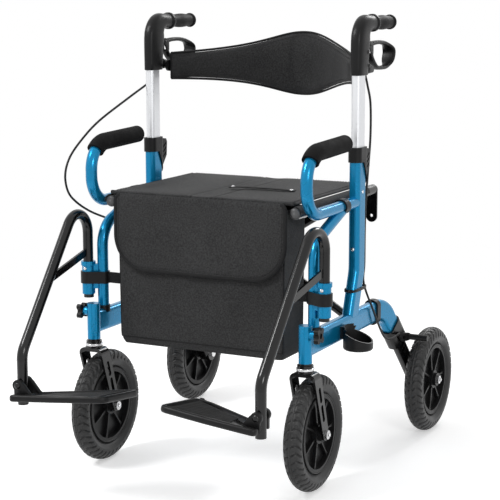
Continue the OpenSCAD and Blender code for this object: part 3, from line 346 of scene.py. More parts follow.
def emboss(tree, height, strength, distance):
    return add(tree, "Bump", Height=height, Strength=strength, Distance=distance).outputs["Normal"]


def finish_of(name, colour, grain, low, high, bump, dust=0.0, metallic=0.0, **fixed):
    material, tree, shader = new_material(name, Metallic=metallic, **fixed)
    skin = place(tree, grain_group, Grains_per_metre=grain, Roughness_low=low, Roughness_high=high)
    base = (*colour, 1)
    if dust:
        base = place(tree, dust_group, Colour=base, Amount=dust)["Colour"]
    relief = emboss(tree, skin["Height"], bump, 0.0006)
    feed(tree, shader, Base_Color=base, Roughness=skin["Roughness"], Normal=relief)
    return material


def cloth_of(name, threads, thread, handled, bump):
    material, tree, shader = new_material(name, Roughness=0.72, Specular_IOR_Level=0.22, Sheen_Weight=0.03,
                                          Sheen_Roughness=0.5)
    weave = place(tree, weave_group, Threads_per_metre=threads, Thread=(*thread, 1), Handled=(*handled, 1))
    feed(tree, shader, Base_Color=weave["Colour"], Normal=emboss(tree, weave["Height"], bump, 0.0008))
    return material


print("two material makers ready")

# %% The finishes
finishes = {
    "frame_blue": finish_of("blue metallic paint", (0.003, 0.235, 0.47), 700, 0.2, 0.3, 0.03, 0.008, 0.55,
                            Coat_Weight=0.2, Coat_Roughness=0.04, Specular_IOR_Level=0.2),
    "black_metal": finish_of("black powder coat", (0.0025, 0.0025, 0.0028), 900, 0.16, 0.22, 0.015, 0.006,
                             Specular_IOR_Level=0.42),
    "black_plastic": finish_of("moulded black plastic", (0.0085, 0.0085, 0.009), 1100, 0.3, 0.44, 0.25, 0.02,
                               Specular_IOR_Level=0.2),
    "foam": finish_of("armrest foam", (0.0035, 0.0035, 0.0038), 650, 0.72, 0.88, 0.6, 0.02, Specular_IOR_Level=0.14),
    "grip_rubber": finish_of("grip rubber", (0.0055, 0.0055, 0.0058), 800, 0.5, 0.66, 0.35, 0.02,
                             Specular_IOR_Level=0.16),
    "silver_tube": finish_of("anodised silver", (0.78, 0.79, 0.81), 500, 0.36, 0.44, 0.03, 0.0, 0.9),
    "steel": finish_of("bright zinc", (0.66, 0.66, 0.67), 500, 0.2, 0.3, 0.05, 0.0, 1.0),
    "tyre": finish_of("tyre rubber", (0.014, 0.014, 0.0145), 500, 0.36, 0.52, 0.35, 0.05, Specular_IOR_Level=0.42),
    "cable_sheath": finish_of("cable sheath", (0.006, 0.006, 0.0065), 700, 0.3, 0.4, 0.05, Specular_IOR_Level=0.3),
    "fabric": cloth_of("black nylon", 700, (0.019, 0.019, 0.0195), (0.054, 0.054, 0.055), 0.6),
}
binding = cloth_of("binding tape", 1100, (0.008, 0.008, 0.0085), (0.014, 0.014, 0.0145), 0.3)
thread = cloth_of("sewing thread", 2600, (0.03, 0.03, 0.031), (0.05, 0.05, 0.052), 0.3)
webbing = cloth_of("strap webbing", 500, (0.008, 0.008, 0.0085), (0.015, 0.015, 0.0155), 0.6)
grey_cap = finish_of("grey cap plastic", (0.1, 0.1, 0.103), 900, 0.35, 0.45, 0.15, 0.03, Specular_IOR_Level=0.35)
tread_mat = finish_of("ribbed foot mat", (0.006, 0.006, 0.0063), 330, 0.6, 0.8, 0.9, 0.05, Specular_IOR_Level=0.25)
print("finishes:", ", ".join(finishes))

# %% Finishes on the CAD pieces
for part in frame["record"]["subparts"]:
    piece = nodes[part["node"]]
    if not piece.material_slots:
        piece.data.materials.append(None)
    for holder in piece.material_slots:
        holder.material = finishes[part["material_slot"]]

# %% [markdown]
# ## Mesh helpers
# Most of the new pieces are one of five forms: a tube along a path, a turned profile, a loft through rounded
# sections, a row of stitches, or a padded panel with two faces and a rim. Each has a helper that returns vertices and
# faces, and one more turns these into a piece that rides on a body of the frame.

# %% Pieces


def make_piece(name, shape, body, slot, material=None, smooth=True):
    verts, faces = shape
    mesh = bpy.data.meshes.new(name)
    mesh.from_pydata([tuple(v) for v in verts], [], faces)
    work = bmesh.new()
    work.from_mesh(mesh)
    bmesh.ops.recalc_face_normals(work, faces=work.faces)
    work.to_mesh(mesh)
    work.free()
    mesh.materials.append(material or finishes[slot])
    if smooth:
        mesh.polygons.foreach_set("use_smooth", [True] * len(mesh.polygons))
    piece = bpy.data.objects.new(name, mesh)
    scene.collection.objects.link(piece)
    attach(piece, body)
    return piece


def rings_to_faces(rows, around, ends="capped"):
    faces = []
    for i in range(rows if ends == "joined" else rows - 1):
        a, b = i * around, (i + 1) % rows * around
        faces += [(a + k, a + (k + 1) % around, b + (k + 1) % around, b + k) for k in range(around)]
    if ends == "capped":
        faces.append(tuple(reversed(range(around))))
        faces.append(tuple((rows - 1) * around + k for k in range(around)))
    return faces


def join(parts):
    verts, faces = [], []
    for more_verts, more_faces in parts:
        start = len(verts)
        verts.extend(more_verts)
        faces.extend(tuple(start + i for i in face) for face in more_faces)
    return verts, faces


print("piece helpers ready")

# %% Tubes, turned parts and lofts


def circle(around):
    return [(math.cos(2 * math.pi * k / around), math.sin(2 * math.pi * k / around)) for k in range(around)]


def heading(line, k):
    return line[min(k + 1, len(line) - 1)] - line[max(k - 1, 0)]


def tube(path, radius, around=10):
    verts = []
    side = None
    for k, here in enumerate(path):
        way = heading(path, k).normalized()
        if side is None:
            side = way.orthogonal().normalized()
        side = (side - way * side.dot(way)).normalized()
        up = way.cross(side)
        verts += [here + radius * (side * c + up * s) for c, s in circle(around)]
    return verts, rings_to_faces(len(path), around)


def turned(profile, centre, axis, around=24, scale=1.0):
    axis = Vector(axis).normalized()
    side = axis.orthogonal().normalized()
    up = axis.cross(side)
    sized = [(r * scale / 1000, h * scale / 1000) for r, h in profile]
    verts = [centre + axis * h + r * (side * c + up * s) for r, h in sized for c, s in circle(around)]
    return verts, rings_to_faces(len(profile), around)


def loft(sections, around=28):
    verts = []
    for centre, a, b, half_a, half_b, power in sections:
        for c, s in circle(around):
            out_a = math.copysign(abs(c) ** (2 / power), c) * half_a / 1000
            out_b = math.copysign(abs(s) ** (2 / power), s) * half_b / 1000
            verts.append(centre + Vector(a) * out_a + Vector(b) * out_b)
    return verts, rings_to_faces(len(sections), around)


print("form helpers ready")

# %% [markdown]
# ## Brake cables
# Each cable leaves the foot of its handle housing and ends at the brake arm behind. The right one drops close behind
# the handle tube and is tied to the upright. The left one is longer and bows out in front of its armrest. A smooth
# line through the route's points keeps the bends round.

# %% Cable routes


def smooth_line(points, steps):
    line = []
    last = len(points) - 1
    for i in range(last):
        a, b, c, d = (points[max(0, min(last, i + k))] for k in (-1, 0, 1, 2))
        for s in range(steps):
            t = s / steps
            line.append(0.5 * (2 * b + (c - a) * t + (2 * a - 5 * b + 4 * c - d) * t * t
                               + (3 * b - a - 3 * c + d) * t ** 3))
    line.append(points[last])
    return line


def line_length(line):
    return sum((b - a).length for a, b in zip(line, line[1:]))


ROUTES = {
    "right": ((258, -18, 846.4), (259, -8, 825), (259, 10, 785), (259, 12, 713), (259, 0, 638), (259, -11, 570),
              (259, -14, 514), (259, -14, 440), (259, -16, 395), (270, 14, 330), (275, 66, 262), (279, 106, 248),
              (284.2, 140.6, 252.9)),
    "left": ((258, -16, 846.4), (263, -13, 834), (269, -32, 818), (281, -94, 790), (308, -179, 743), (320, -231, 707),
             (328, -272, 669), (330, -289, 632), (330, -280, 595), (327, -254, 569), (318, -212, 543),
             (300, -170, 523), (284, -120, 504), (270, -60, 468), (268, -4, 405), (270, 20, 330), (275, 66, 262),
             (279, 106, 248), (284.2, 140.6, 252.9)),
}
print("route points:", {side: len(points) for side, points in ROUTES.items()})

# %% Cables
CABLE = 0.005
for side, s in SIDES:
    route = smooth_line([mm(s * x, y, z) for x, y, z in ROUTES[side]], 8)
    cable = make_piece(side + "_cable_sheath", tube(route, CABLE / 2), side + "_frame", "cable_sheath")
    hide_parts(side + "_brake_cable")
    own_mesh(cable)
    print(side, "cable", round(line_length(route), 3), "m")

# %% [markdown]
# ## Tyres
# The tyres have a rounded crown with two grooves round its middle, hooked slots that run out over the shoulders and a
# plain sidewall with one thin rib. A turned ring can't show that, so the ring's points are pushed in where a groove
# passes. Places across the tread count from 0 at the crown to 1 at the shoulder.

# %% Tread pattern
LUGS, GROOVE_DEEP = 42, 3.4
LANE, LANE_WIDE = 0.1, 0.045
SLOT_FROM, SLOT_TO = 0.14, 1.16


def groove_depth(turn, across):
    beat = turn * LUGS % 1.0
    lane = min(abs(across - LANE), abs(across + LANE))
    cut = max(0.0, 1 - (lane / LANE_WIDE) ** 2) * 0.7
    for hand in (-1, 1):
        reach = across * hand
        if SLOT_FROM < reach < SLOT_TO:
            hook = 0.5 + 0.34 * math.sin(math.pi * (reach - SLOT_FROM) / 0.75) * hand
            gap = abs((beat - hook + 0.5) % 1.0 - 0.5)
            wide = 0.1 + 0.07 * max(0.0, reach - 0.55)
            cut = max(cut, max(0.0, 1 - (gap / wide) ** 4))
        if 0.3 < reach < 0.62:
            short = abs((beat - 0.06 * hand + 0.5) % 1.0 - 0.5)
            cut = max(cut, max(0.0, 1 - (short / 0.09) ** 4) * 0.8)
    return GROOVE_DEEP * cut


print("lugs a side:", LUGS, "and", GROOVE_DEEP, "mm deep")

# %% Treaded tyres
TYRE_D, RIM_D, WHEEL_Z, BEAD_HALF = 245.0, 170.0, 122.5, 13.5
STEPS, ACROSS = 504, 56
SIDEWALL, SHOULDER_AT = math.radians(128), math.radians(78)


def tyre_mesh(x, y, width):
    verts = []
    for i in range(STEPS):
        turn = i / STEPS
        c, s = math.cos(2 * math.pi * turn), math.sin(2 * math.pi * turn)
        for j in range(ACROSS):
            bend = (j / (ACROSS - 1) - 0.5) * 2 * SIDEWALL
            across = bend / SHOULDER_AT
            r = TYRE_D / 2 - width / 2 + width / 2 * math.cos(bend)
            x_off = width / 2 * math.sin(bend)
            push = groove_depth(turn, across) if abs(across) < 1.2 else 0.0
            r -= push * math.cos(bend)
            x_off -= push * math.sin(bend)
            rib = 0.5 * math.exp(-((abs(across) - 1.32) / 0.05) ** 2)
            x_off += rib * (1 if bend > 0 else -1)
            if j in (0, ACROSS - 1):
                r, x_off = RIM_D / 2 + 0.2, math.copysign(BEAD_HALF, bend)
            verts.append(mm(x + x_off, y + r * s, WHEEL_Z + r * c))
    return verts, rings_to_faces(STEPS, ACROSS, "joined")


for side, s in SIDES:
    for end, x, y, width in (("front", 252, -265, 39), ("rear", 314, 260, 42)):
        shape = tyre_mesh(s * x, y, width)
        tread = make_piece(side + "_" + end + "_tread", shape, side + "_" + end + "_wheel", "tyre")
        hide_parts(side + "_" + end + "_tyre")
print("tyre faces:", len(tread.data.polygons))

# %% [markdown]
# ## Padded panels
# A sewn panel has two faces that meet at a thin rim, and it is fullest in its middle. The helper takes a middle
# surface and a thickness, both as functions of two numbers from -1 to 1. Blender's cloth then blows it up a little,
# with gravity off, so that the faces tighten as filled fabric does. No point may go further than the cap. Stitches
# are dropped on the finished skin, each a short bowed thread.

# %% Panels


def panel(surface, thickness, across, along):
    def at(i, j):
        return i * (along + 1) + j

    step = 1e-3
    front, back, faces = [], [], []
    for i in range(across + 1):
        for j in range(along + 1):
            u, v = 2 * i / across - 1, 2 * j / along - 1
            here = surface(u, v)
            du = surface(min(u + step, 1), v) - surface(max(u - step, -1), v)
            dv = surface(u, min(v + step, 1)) - surface(u, max(v - step, -1))
            out = du.cross(dv).normalized()
            half = thickness(u, v) / 2
            front.append(here + out * half)
            back.append(here - out * half)
    count = len(front)
    for i in range(across):
        for j in range(along):
            quad = (at(i, j), at(i + 1, j), at(i + 1, j + 1), at(i, j + 1))
            faces.append(quad)
            faces.append(tuple(count + k for k in reversed(quad)))
    rim = [at(i, 0) for i in range(across + 1)] + [at(across, j) for j in range(1, along + 1)]
    rim += [at(i, along) for i in range(across - 1, -1, -1)] + [at(0, j) for j in range(along - 1, 0, -1)]
    for a, b in zip(rim, rim[1:] + rim[:1]):
        faces.append((a, b, b + count, a + count))
    return front + back, faces


print("panel helper ready")

# %% Cloth, smoothing and stitches


def puff(piece, cap, pressure=4.0, frames=20):
    rest = [v.co.copy() for v in piece.data.vertices]
    cloth = piece.modifiers.new("Cloth", "CLOTH")
    cloth.settings.quality = 6
    cloth.settings.use_pressure = True
    cloth.settings.uniform_pressure_force = pressure
    cloth.settings.effector_weights.gravity = 0
    cloth.collision_settings.use_collision = False
    cloth.point_cache.frame_start = 1
    cloth.point_cache.frame_end = frames
    for step in range(1, frames + 1):
        scene.frame_set(step)
    blown = piece.evaluated_get(bpy.context.evaluated_depsgraph_get()).to_mesh()
    shapes = [v.co.copy() for v in blown.vertices]
    piece.modifiers.remove(cloth)
    for vertex, before, after in zip(piece.data.vertices, rest, shapes):
        move = after - before
        vertex.co = before + move * min(1.0, cap / max(move.length, 1e-9))
    scene.frame_set(1)


def soften(piece):
    sub = piece.modifiers.new("Subdivision", "SUBSURF")
    sub.levels = 1
    sub.render_levels = 1


def skin_of(piece):
    mesh = piece.data
    return BVHTree.FromPolygons([v.co for v in mesh.vertices], [tuple(p.vertices) for p in mesh.polygons])


def stitches(skin, spots, reach, lift=0.0002, radius=0.00055, stitch=0.0042, gap=0.0024):
    landed = [(skin.ray_cast(here + up * reach, -up)[0], up) for here, up in spots]
    landed = [(here + up * lift, up) for here, up in landed if here is not None]
    parts = []
    run, start = 0.0, None
    for (a, up), (b, _) in zip(landed, landed[1:]):
        beat = run % (stitch + gap)
        if beat < stitch and start is None:
            start = a
        elif beat >= stitch and start is not None:
            parts.append(tube([start, (start + a) / 2 + up * radius, a], radius, 5))
            start = None
        run += (b - a).length
    return join(parts)


print("cloth helpers ready")

# %% [markdown]
# ## Backrest
# The backrest is a padded band on a deep curve, tall in its middle and narrow at the two brackets. It has a taped
# edge all round and a line of stitches beside it.

# %% Backrest pad
BACK_X, BACK_Z, BACK_FRONT, BACK_DEPTH = 223.15, 857.0, -24.0, 258.0
BACK_PUFF, TAPE_R, BACK_INSET = 0.003, 0.0026, 9.0


def back_line(x):
    return BACK_FRONT + BACK_DEPTH * (1 - (x / (BACK_X + 8)) ** 2)


def back_half(x):
    return (42 + 108 / (1 + (abs(x) / 115) ** 2.2)) / 2


def back_surface(u, v):
    x = BACK_X * math.sin(math.pi / 2 * u)
    return mm(x, back_line(x), BACK_Z + v * (back_half(x) - 2.5))


def back_thickness(u, v):
    full = 7 + 13 * math.cos(math.pi / 2 * u * 0.98) ** 0.8
    return (3.5 + (full - 3.5) * (1 - abs(v) ** 3) ** 0.6) / 1000


pad = make_piece("backrest_pad", panel(back_surface, back_thickness, 72, 16), "backrest", "fabric")
puff(pad, BACK_PUFF)
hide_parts("backrest")
skin = skin_of(pad)
soften(pad)
print("backrest faces:", len(pad.data.polygons))

# %% Backrest tape and stitches


def back_outward(u, v):
    along = back_surface(min(u + 0.01, 1), v) - back_surface(max(u - 0.01, -1), v)
    return along.cross(Vector(UP_Z)).normalized()


edge_rows = [tube([back_surface(k / 80, v) for k in range(-80, 81)], TAPE_R, 8) for v in (-1, 1)]
edge_rows += [tube([back_surface(u, k / 6) for k in range(-6, 7)], TAPE_R, 8) for u in (-1, 1)]
tape = make_piece("backrest_edge_tape", join(edge_rows), "backrest", "fabric", binding)

seam_rows = []
for face in (-1, 1):
    for v in (-1, 1):
        spots = []
        for k in range(-420, 421):
            u = k / 440
            inner = v * (1 - BACK_INSET / back_half(BACK_X * math.sin(math.pi / 2 * u)))
            spots.append((back_surface(u, inner), back_outward(u, inner) * face))
        seam_rows.append(stitches(skin, spots, 0.05))
seams = make_piece("backrest_stitches", join(seam_rows), "backrest", "fabric", thread)
for piece in (pad, tape, seams):
    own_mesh(piece)
print("rows of stitches on the backrest:", len(seam_rows))

# %% [markdown]
# ## Seat
# The seat is a sling of padded nylon in two halves. Each is hemmed over its rail, and a loose strip joins them in the
# middle. A webbing strap with two rivets lies on the right half, to pull the seat up by. A line of stitches follows
# each half's edge. The hem stays on the rail while the half turns round it.

# %% Seat halves
SEAT_TOP, SEAT_LOW, SEAT_FRONT, SEAT_REAR = 604.85, 593.85, -288.0, 82.0
SEAT_IN, RAIL_X, RAIL_Z, SEAT_PUFF = 22.0, 217.0, 581.0, 0.0012
SEAT_MIDDLE, SEAT_REACH = (SEAT_FRONT + SEAT_REAR) / 2, (SEAT_REAR - SEAT_FRONT) / 2
SEAT_SEAMS = (((-0.93, -0.962), (0.9, -0.962)), ((-0.93, 0.962), (0.9, 0.962)), ((0.9, -0.962), (0.9, 0.962)))


def seat_surface(s):
    def surface(u, v):
        x = SEAT_IN + (RAIL_X + 3 - SEAT_IN) * (u + 1) / 2
        y = SEAT_MIDDLE + SEAT_REACH * v * 0.994
        drop = 1.4 * (1 - u * u) * (1 - v * v)
        return mm(s * x, y, (SEAT_TOP + SEAT_LOW) / 2 + 0.6 - drop)

    return surface


def seat_thickness(u, v):
    return (4.0 + 4.6 * ((1 - abs(u) ** 10) * (1 - abs(v) ** 10)) ** 0.5) / 1000


for side, s in SIDES:
    cover = make_piece(side + "_seat_cover", panel(seat_surface(s), seat_thickness, 24, 40), side + "_seat", "fabric")
    puff(cover, SEAT_PUFF)
    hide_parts(side + "_seat_half")
    top = skin_of(cover)
    soften(cover)
    rows = []
    for start, end in SEAT_SEAMS:
        spots = []
        for k in range(401):
            u = start[0] + (end[0] - start[0]) * k / 400
            v = start[1] + (end[1] - start[1]) * k / 400
            spots.append((seat_surface(s)(u, v), Vector(UP_Z)))
        rows.append(stitches(top, spots, 0.03))
    make_piece(side + "_seat_stitches", join(rows), side + "_seat", "fabric", thread)
print("seat half faces:", len(cover.data.polygons))

# %% Hems and front rolls
HEM_THICK = 1.6
hem_turns = [math.radians(90 - 11 * k) for k in range(9)]
hem = [(RAIL_X + 1 + 15.2 * math.cos(a) * 0.97, RAIL_Z + 15.6 * math.sin(a)) for a in hem_turns]
hem += [(x - HEM_THICK, z - HEM_THICK) for x, z in reversed(hem)]
for side, s in SIDES:
    verts = [mm(s * x, y, z) for y in (SEAT_FRONT + 2, SEAT_REAR - 2) for x, z in hem]
    make_piece(side + "_seat_hem", (verts, rings_to_faces(2, len(hem))), side + "_brace", "fabric", smooth=False)
    roll = [mm(s * (SEAT_IN - 1 + (RAIL_X - SEAT_IN) * k / 40), SEAT_FRONT + 4.4,
               SEAT_TOP - 4.5 + 0.5 * math.sin(0.37 * k)) for k in range(41)]
    make_piece(side + "_seat_roll", tube(roll, 0.0043, 14), side + "_seat", "fabric")
print("hem points:", len(hem))

# %% Middle strip


def strip_surface(u, v):
    y = SEAT_MIDDLE + SEAT_REACH * v * 0.99
    return mm(SEAT_IN * u * 1.12, y, SEAT_TOP - 3.2 - 1.6 * (1 - u * u))


strip_roll = tube([mm(SEAT_IN * 1.12 * (k / 8 - 1), SEAT_FRONT + 4.6, SEAT_TOP - 5.4) for k in range(17)], 0.0042, 14)
strip_panel = panel(strip_surface, lambda u, v: 0.0022, 8, 40)
strip = make_piece("seat_middle_strip", join([strip_panel, strip_roll]), "right_seat", "fabric")
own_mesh(strip)
print("strip faces:", len(strip.data.polygons))

# %% Pull strap
STRAP_Y, STRAP_IN, STRAP_OUT = -137.0, -6.0, 147.0
RIVET = ((0.0, 2.6), (2.0, 2.4), (3.6, 1.5), (4.2, 0.4), (4.2, -0.6), (0.0, -0.6))


def strap_surface(u, v):
    x = (STRAP_IN + STRAP_OUT) / 2 + (STRAP_OUT - STRAP_IN) / 2 * u
    rise = 4.2 * (1 - u ** 4) * 0.5 + 1.4
    return mm(x, STRAP_Y + 8 * v, SEAT_TOP + rise)


strap_panel = panel(strap_surface, lambda u, v: 0.0018, 30, 4)
strap = make_piece("seat_pull_strap", strap_panel, "right_seat", "fabric", webbing)
rivets = [turned(RIVET, mm(x, STRAP_Y, SEAT_TOP + 2.6), UP_Z) for x in (STRAP_IN + 7, STRAP_OUT - 7)]
rivet_pair = make_piece("seat_strap_rivets", join(rivets), "right_seat", "steel")
for piece in (strap, rivet_pair):
    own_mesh(piece)
print("strap:", STRAP_OUT - STRAP_IN, "mm long")

# %% [markdown]
# ## Bag and flap
# The bag hangs between the front struts. Its walls pull in between the corners and carry soft folds, and the open top
# is under the seat. The flap is one padded sheet that rolls over the seat's front edge and hangs in front of the bag,
# with broad round lower corners, taped edges and a line of stitches. The place where makers sew a mark stays bare.

# %% Bag outline
BAG_X, BAG_FRONT, BAG_DEEP, BAG_LOW, BAG_TOP = 198.0, -292.0, 104.0, 274.0, 586.0
LEVELS, LONG, SHORT, TURN = 40, 44, 12, 6
AROUND = 2 * (LONG + SHORT) + 4 * TURN


def rounded_outline(half_x, half_y, r):
    flat_x, flat_y = half_x - r, half_y - r
    line = []
    for quarter, (cx, cy) in enumerate(((1, -1), (1, 1), (-1, 1), (-1, -1))):
        start = -90 + 90 * quarter
        steps = LONG if quarter % 2 == 0 else SHORT
        from_x, from_y = ((-1, -1), (1, -1), (1, 1), (-1, 1))[quarter]
        a = math.radians(start)
        off = Vector((r * math.cos(a), r * math.sin(a)))
        for k in range(steps):
            share = k / steps
            x = flat_x * (from_x + (cx - from_x) * share)
            y = flat_y * (from_y + (cy - from_y) * share)
            line.append((x + off.x, y + off.y))
        for k in range(TURN):
            a = math.radians(start + 90 * k / TURN)
            line.append((cx * flat_x + r * math.cos(a), cy * flat_y + r * math.sin(a)))
    return line


def bag_ring(t):
    z = BAG_LOW + (BAG_TOP - BAG_LOW) * t
    tuck = 6.0 * max(0.0, 1 - t * 14) ** 2
    half_x = BAG_X - 3 * (1 - t) - tuck
    half_y = BAG_DEEP / 2 - tuck
    waist = math.sin(math.pi * min(1.0, t * 1.04))
    ring = []
    for x, y in rounded_outline(half_x, half_y, 9):
        fold = 0.9 * math.sin(0.021 * x + 9 * t) * math.sin(14 * t + 0.013 * x) + 0.6 * math.sin(0.05 * x - 6 * t + 1)
        if abs(y) > half_y - 1:
            y += math.copysign(1.0, y) * (fold - 1.6) * waist * (1 - abs(x / half_x) ** 8)
        if abs(x) > half_x - 1:
            x -= math.copysign(4.5, x) * waist * (1 - abs(y / half_y) ** 4)
        ring.append(mm(x, BAG_FRONT + BAG_DEEP / 2 + y, z))
    return ring


print("points round the bag:", AROUND)

# %% Bag shell
bag_verts = [point for i in range(LEVELS + 1) for point in bag_ring(i / LEVELS)]
bag_faces = rings_to_faces(LEVELS + 1, AROUND, "open")
low = bag_ring(0.0)
middle = sum(low, Vector()) / len(low)
for share in (0.8, 0.55, 0.25):
    start = len(bag_verts)
    bag_verts += [middle + (p - middle) * share + Vector((0, 0, -0.0015 * (1 - share))) for p in low]
    before = start - AROUND if share < 0.8 else 0
    bag_faces += [(before + k, before + (k + 1) % AROUND, start + (k + 1) % AROUND, start + k) for k in range(AROUND)]
bag_faces.append(tuple(range(len(bag_verts) - AROUND, len(bag_verts))))
bag = make_piece("bag_shell", (bag_verts, bag_faces), "left_frame", "fabric")
wall = bag.modifiers.new("Thickness", "SOLIDIFY")
wall.thickness = 0.0025
wall.offset = -1
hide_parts("bag")
print("bag faces:", len(bag.data.polygons))

# %% Piping and straps
TAB_IN, TAB_OUT, TAB_Y, TAB_Z, TAB_HALF = 194.0, 236.4, -267, 410, 11
piping_paths = []
for sx in (-1, 1):
    corner_line = [max(bag_ring(0.05 + 0.94 * k / 30), key=lambda p: sx * p.x - p.y) for k in range(31)]
    piping_paths.append(tube(corner_line, 0.0015, 7))
low_ring = bag_ring(0.05)
front_y = min(p.y for p in low_ring)
foot = sorted((p for p in low_ring if p.y < front_y + 0.004), key=lambda p: p.x)
piping_paths.append(tube(foot, 0.0013, 7))
piping = make_piece("bag_piping", join(piping_paths), "left_frame", "fabric", binding)

tab_parts = []
for sx in (-1, 1):
    a, b = sx * TAB_IN, sx * TAB_OUT
    low, high = TAB_Z - TAB_HALF, TAB_Z + TAB_HALF
    for z in (low, high):
        tab_parts.append(tube([mm(a + (b - a) * k / 8, TAB_Y, z) for k in range(9)], 0.0012, 6))
    flat = [mm(x, TAB_Y - 1, z) for x, z in ((a, low), (b, low), (b, high), (a, high))]
    flat += [p + Vector((0, 0.002, 0)) for p in flat]
    tab_parts.append((flat, [(0, 1, 2, 3), (7, 6, 5, 4), (0, 4, 5, 1), (1, 5, 6, 2), (2, 6, 7, 3), (3, 7, 4, 0)]))
tabs = make_piece("bag_straps", join(tab_parts), "left_frame", "fabric", webbing, False)
for piece in (bag, piping, tabs):
    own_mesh(piece)
print("piping lines:", len(piping_paths))

# %% Flap
FLAP_X, FLAP_LOW, FLAP_TOP, CORNER, SHOULDER = 203.0, 436.0, 600.35, 78.0, 14.0
FLAP_Y = BAG_FRONT - 0.35 - 2.5


def flap_edge(z):
    below = min(1.0, max(0.0, (FLAP_LOW + CORNER - z) / CORNER))
    above = min(1.0, max(0.0, (z - FLAP_TOP + SHOULDER) / SHOULDER))
    return FLAP_X - CORNER * (1 - math.sqrt(1 - below ** 2)) - SHOULDER * (1 - math.sqrt(1 - above ** 2))


def flap_surface(u, v):
    t = (1 - v) / 2
    z = FLAP_TOP - (FLAP_TOP - FLAP_LOW) * t
    swell = -1.8 * math.sin(math.pi * min(1.0, t * 1.1)) * (1 - u ** 4) - 2.2 * t * t
    swell += 0.5 * math.sin(5 * u + 4 * t) * t
    roll = 1.5 * max(0.0, 1 - t * 18) ** 2
    return mm(u * flap_edge(z), FLAP_Y + swell + roll, z)


def flap_rows(v):
    return 1 - 2 * (0.5 - 0.5 * math.cos(math.pi * (1 - v) / 2))


def flap_thickness(u, v):
    return (2.6 + 2.4 * ((1 - abs(u) ** 8) * (1 - abs(v) ** 8)) ** 0.5) / 1000


flap_form = panel(lambda u, v: flap_surface(u, flap_rows(v)), flap_thickness, 48, 40)
flap = make_piece("flap_panel", flap_form, "flap", "fabric")
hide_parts("bag_flap")
flap_skin = skin_of(flap)
soften(flap)
print("flap faces:", len(flap.data.polygons))

# %% Flap tape and stitches
outline = [flap_surface(-1, flap_rows(1 - k / 100)) for k in range(201)]
bottom = [flap_surface(k / 60, -1) for k in range(-59, 60)]
outline = outline + bottom + [Vector((-p.x, p.y, p.z)) for p in reversed(outline)]


def set_in(line, distance):
    moved = []
    for k, here in enumerate(line):
        way = heading(line, k)
        inward = Vector((-way.z, 0, way.x)).normalized()
        moved.append((here + inward * distance, inward))
    return moved


band = [(p, inward, ALONG_Y, 4.4, 3.3, 2.6) for p, inward in set_in(outline, 0.0032)]
flap_tape = make_piece("flap_edge_tape", loft(band, 10), "flap", "fabric", binding)

spots = [(p, Vector(TO_FRONT)) for p, inward in set_in(outline[8:-8], 0.0102)]
seam_form = stitches(flap_skin, spots, 0.05, 0.0003, 0.0006)
flap_seams = make_piece("flap_stitches", seam_form, "flap", "fabric", thread)
for piece in (flap, flap_tape, flap_seams):
    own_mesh(piece)
print("flap edge points:", len(outline))

# %% [markdown]
# ## Handle housings and levers
# Each housing is one smooth moulding that bends from the handle tube into the grip and ends in a round flange. The
# lever is a loop with a wide paddle. Both are lofts through rounded sections, because the CAD solids are made of
# plain hulls and show their edges. A section is its middle, two directions, two half widths and how square it is.
# The loop is forked at its pin, round the housing's tongue.

# %% Housings
FRAME_X, GRIP_Z, PIN_Z = 252.0, 957.0, 911.0
BEND_Y, BEND_Z = 2.0, 925.0
STEM = ((-37.4, 848.2, 26.2, 13.3), (-37.4, 849.6, 27, 14), (-37, 864, 27.4, 14.2), (-34.8, 900, 29.6, 15),
        (-33, 918, 31, 15.3))
FLANGE = ((20, 16.6), (26.5, 16.6), (27.5, 18.6), (29, 19.2), (35, 19.2), (36.6, 18.6), (37.4, 17))
TAIL = ((-14, 862, 10, 12.6), (0, 861, 9.8, 11.4), (22, 859, 9.2, 8.2), (25.6, 858.6, 8, 7))
TONGUE = ((-8, 7.4), (6, 7.4), (11, 5.6), (13, 3))


def pin_profile(radius):
    return ((0, 0), (radius, 0), (radius, 18), (0, 18))


def housing_sections(s):
    sections = [(mm(s * FRAME_X, y, z), ACROSS_X, ALONG_Y, wide, deep, 3.0) for y, z, deep, wide in STEM]
    for k in range(1, 13):
        turn = math.pi / 2 * k / 12
        share = k / 12
        off = 34.8 - 2.8 * share
        centre = mm(s * FRAME_X, BEND_Y - off * math.cos(turn), BEND_Z + off * math.sin(turn))
        deep = (0, math.cos(turn), -math.sin(turn))
        sections.append((centre, ACROSS_X, deep, 15.3 + 1.5 * share, 31.2 - 14.4 * share, 3.0 - 0.9 * share))
    sections += [(mm(s * FRAME_X, y, GRIP_Z), ACROSS_X, (0, 0, -1), r, r, 2.0) for y, r in FLANGE]
    return sections


for side, s in SIDES:
    tail = [(mm(s * FRAME_X, y, z), ACROSS_X, UP_Z, wide, high, 4.0) for y, z, wide, high in TAIL]
    tongue = [(mm(s * FRAME_X, y, PIN_Z), ACROSS_X, UP_Z, 3.8, high, 3.0) for y, high in TONGUE]
    pin = turned(pin_profile(4.9), mm(s * 228.4, -6, 857), (s, 0, 0), 20)
    parts = [loft(housing_sections(s), 40), loft(tail), loft(tongue), pin]
    shell = make_piece(side + "_housing_shell", join(parts), side + "_handle", "black_plastic")
    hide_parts(side + "_handle_housing")
print("housing faces:", len(shell.data.polygons))

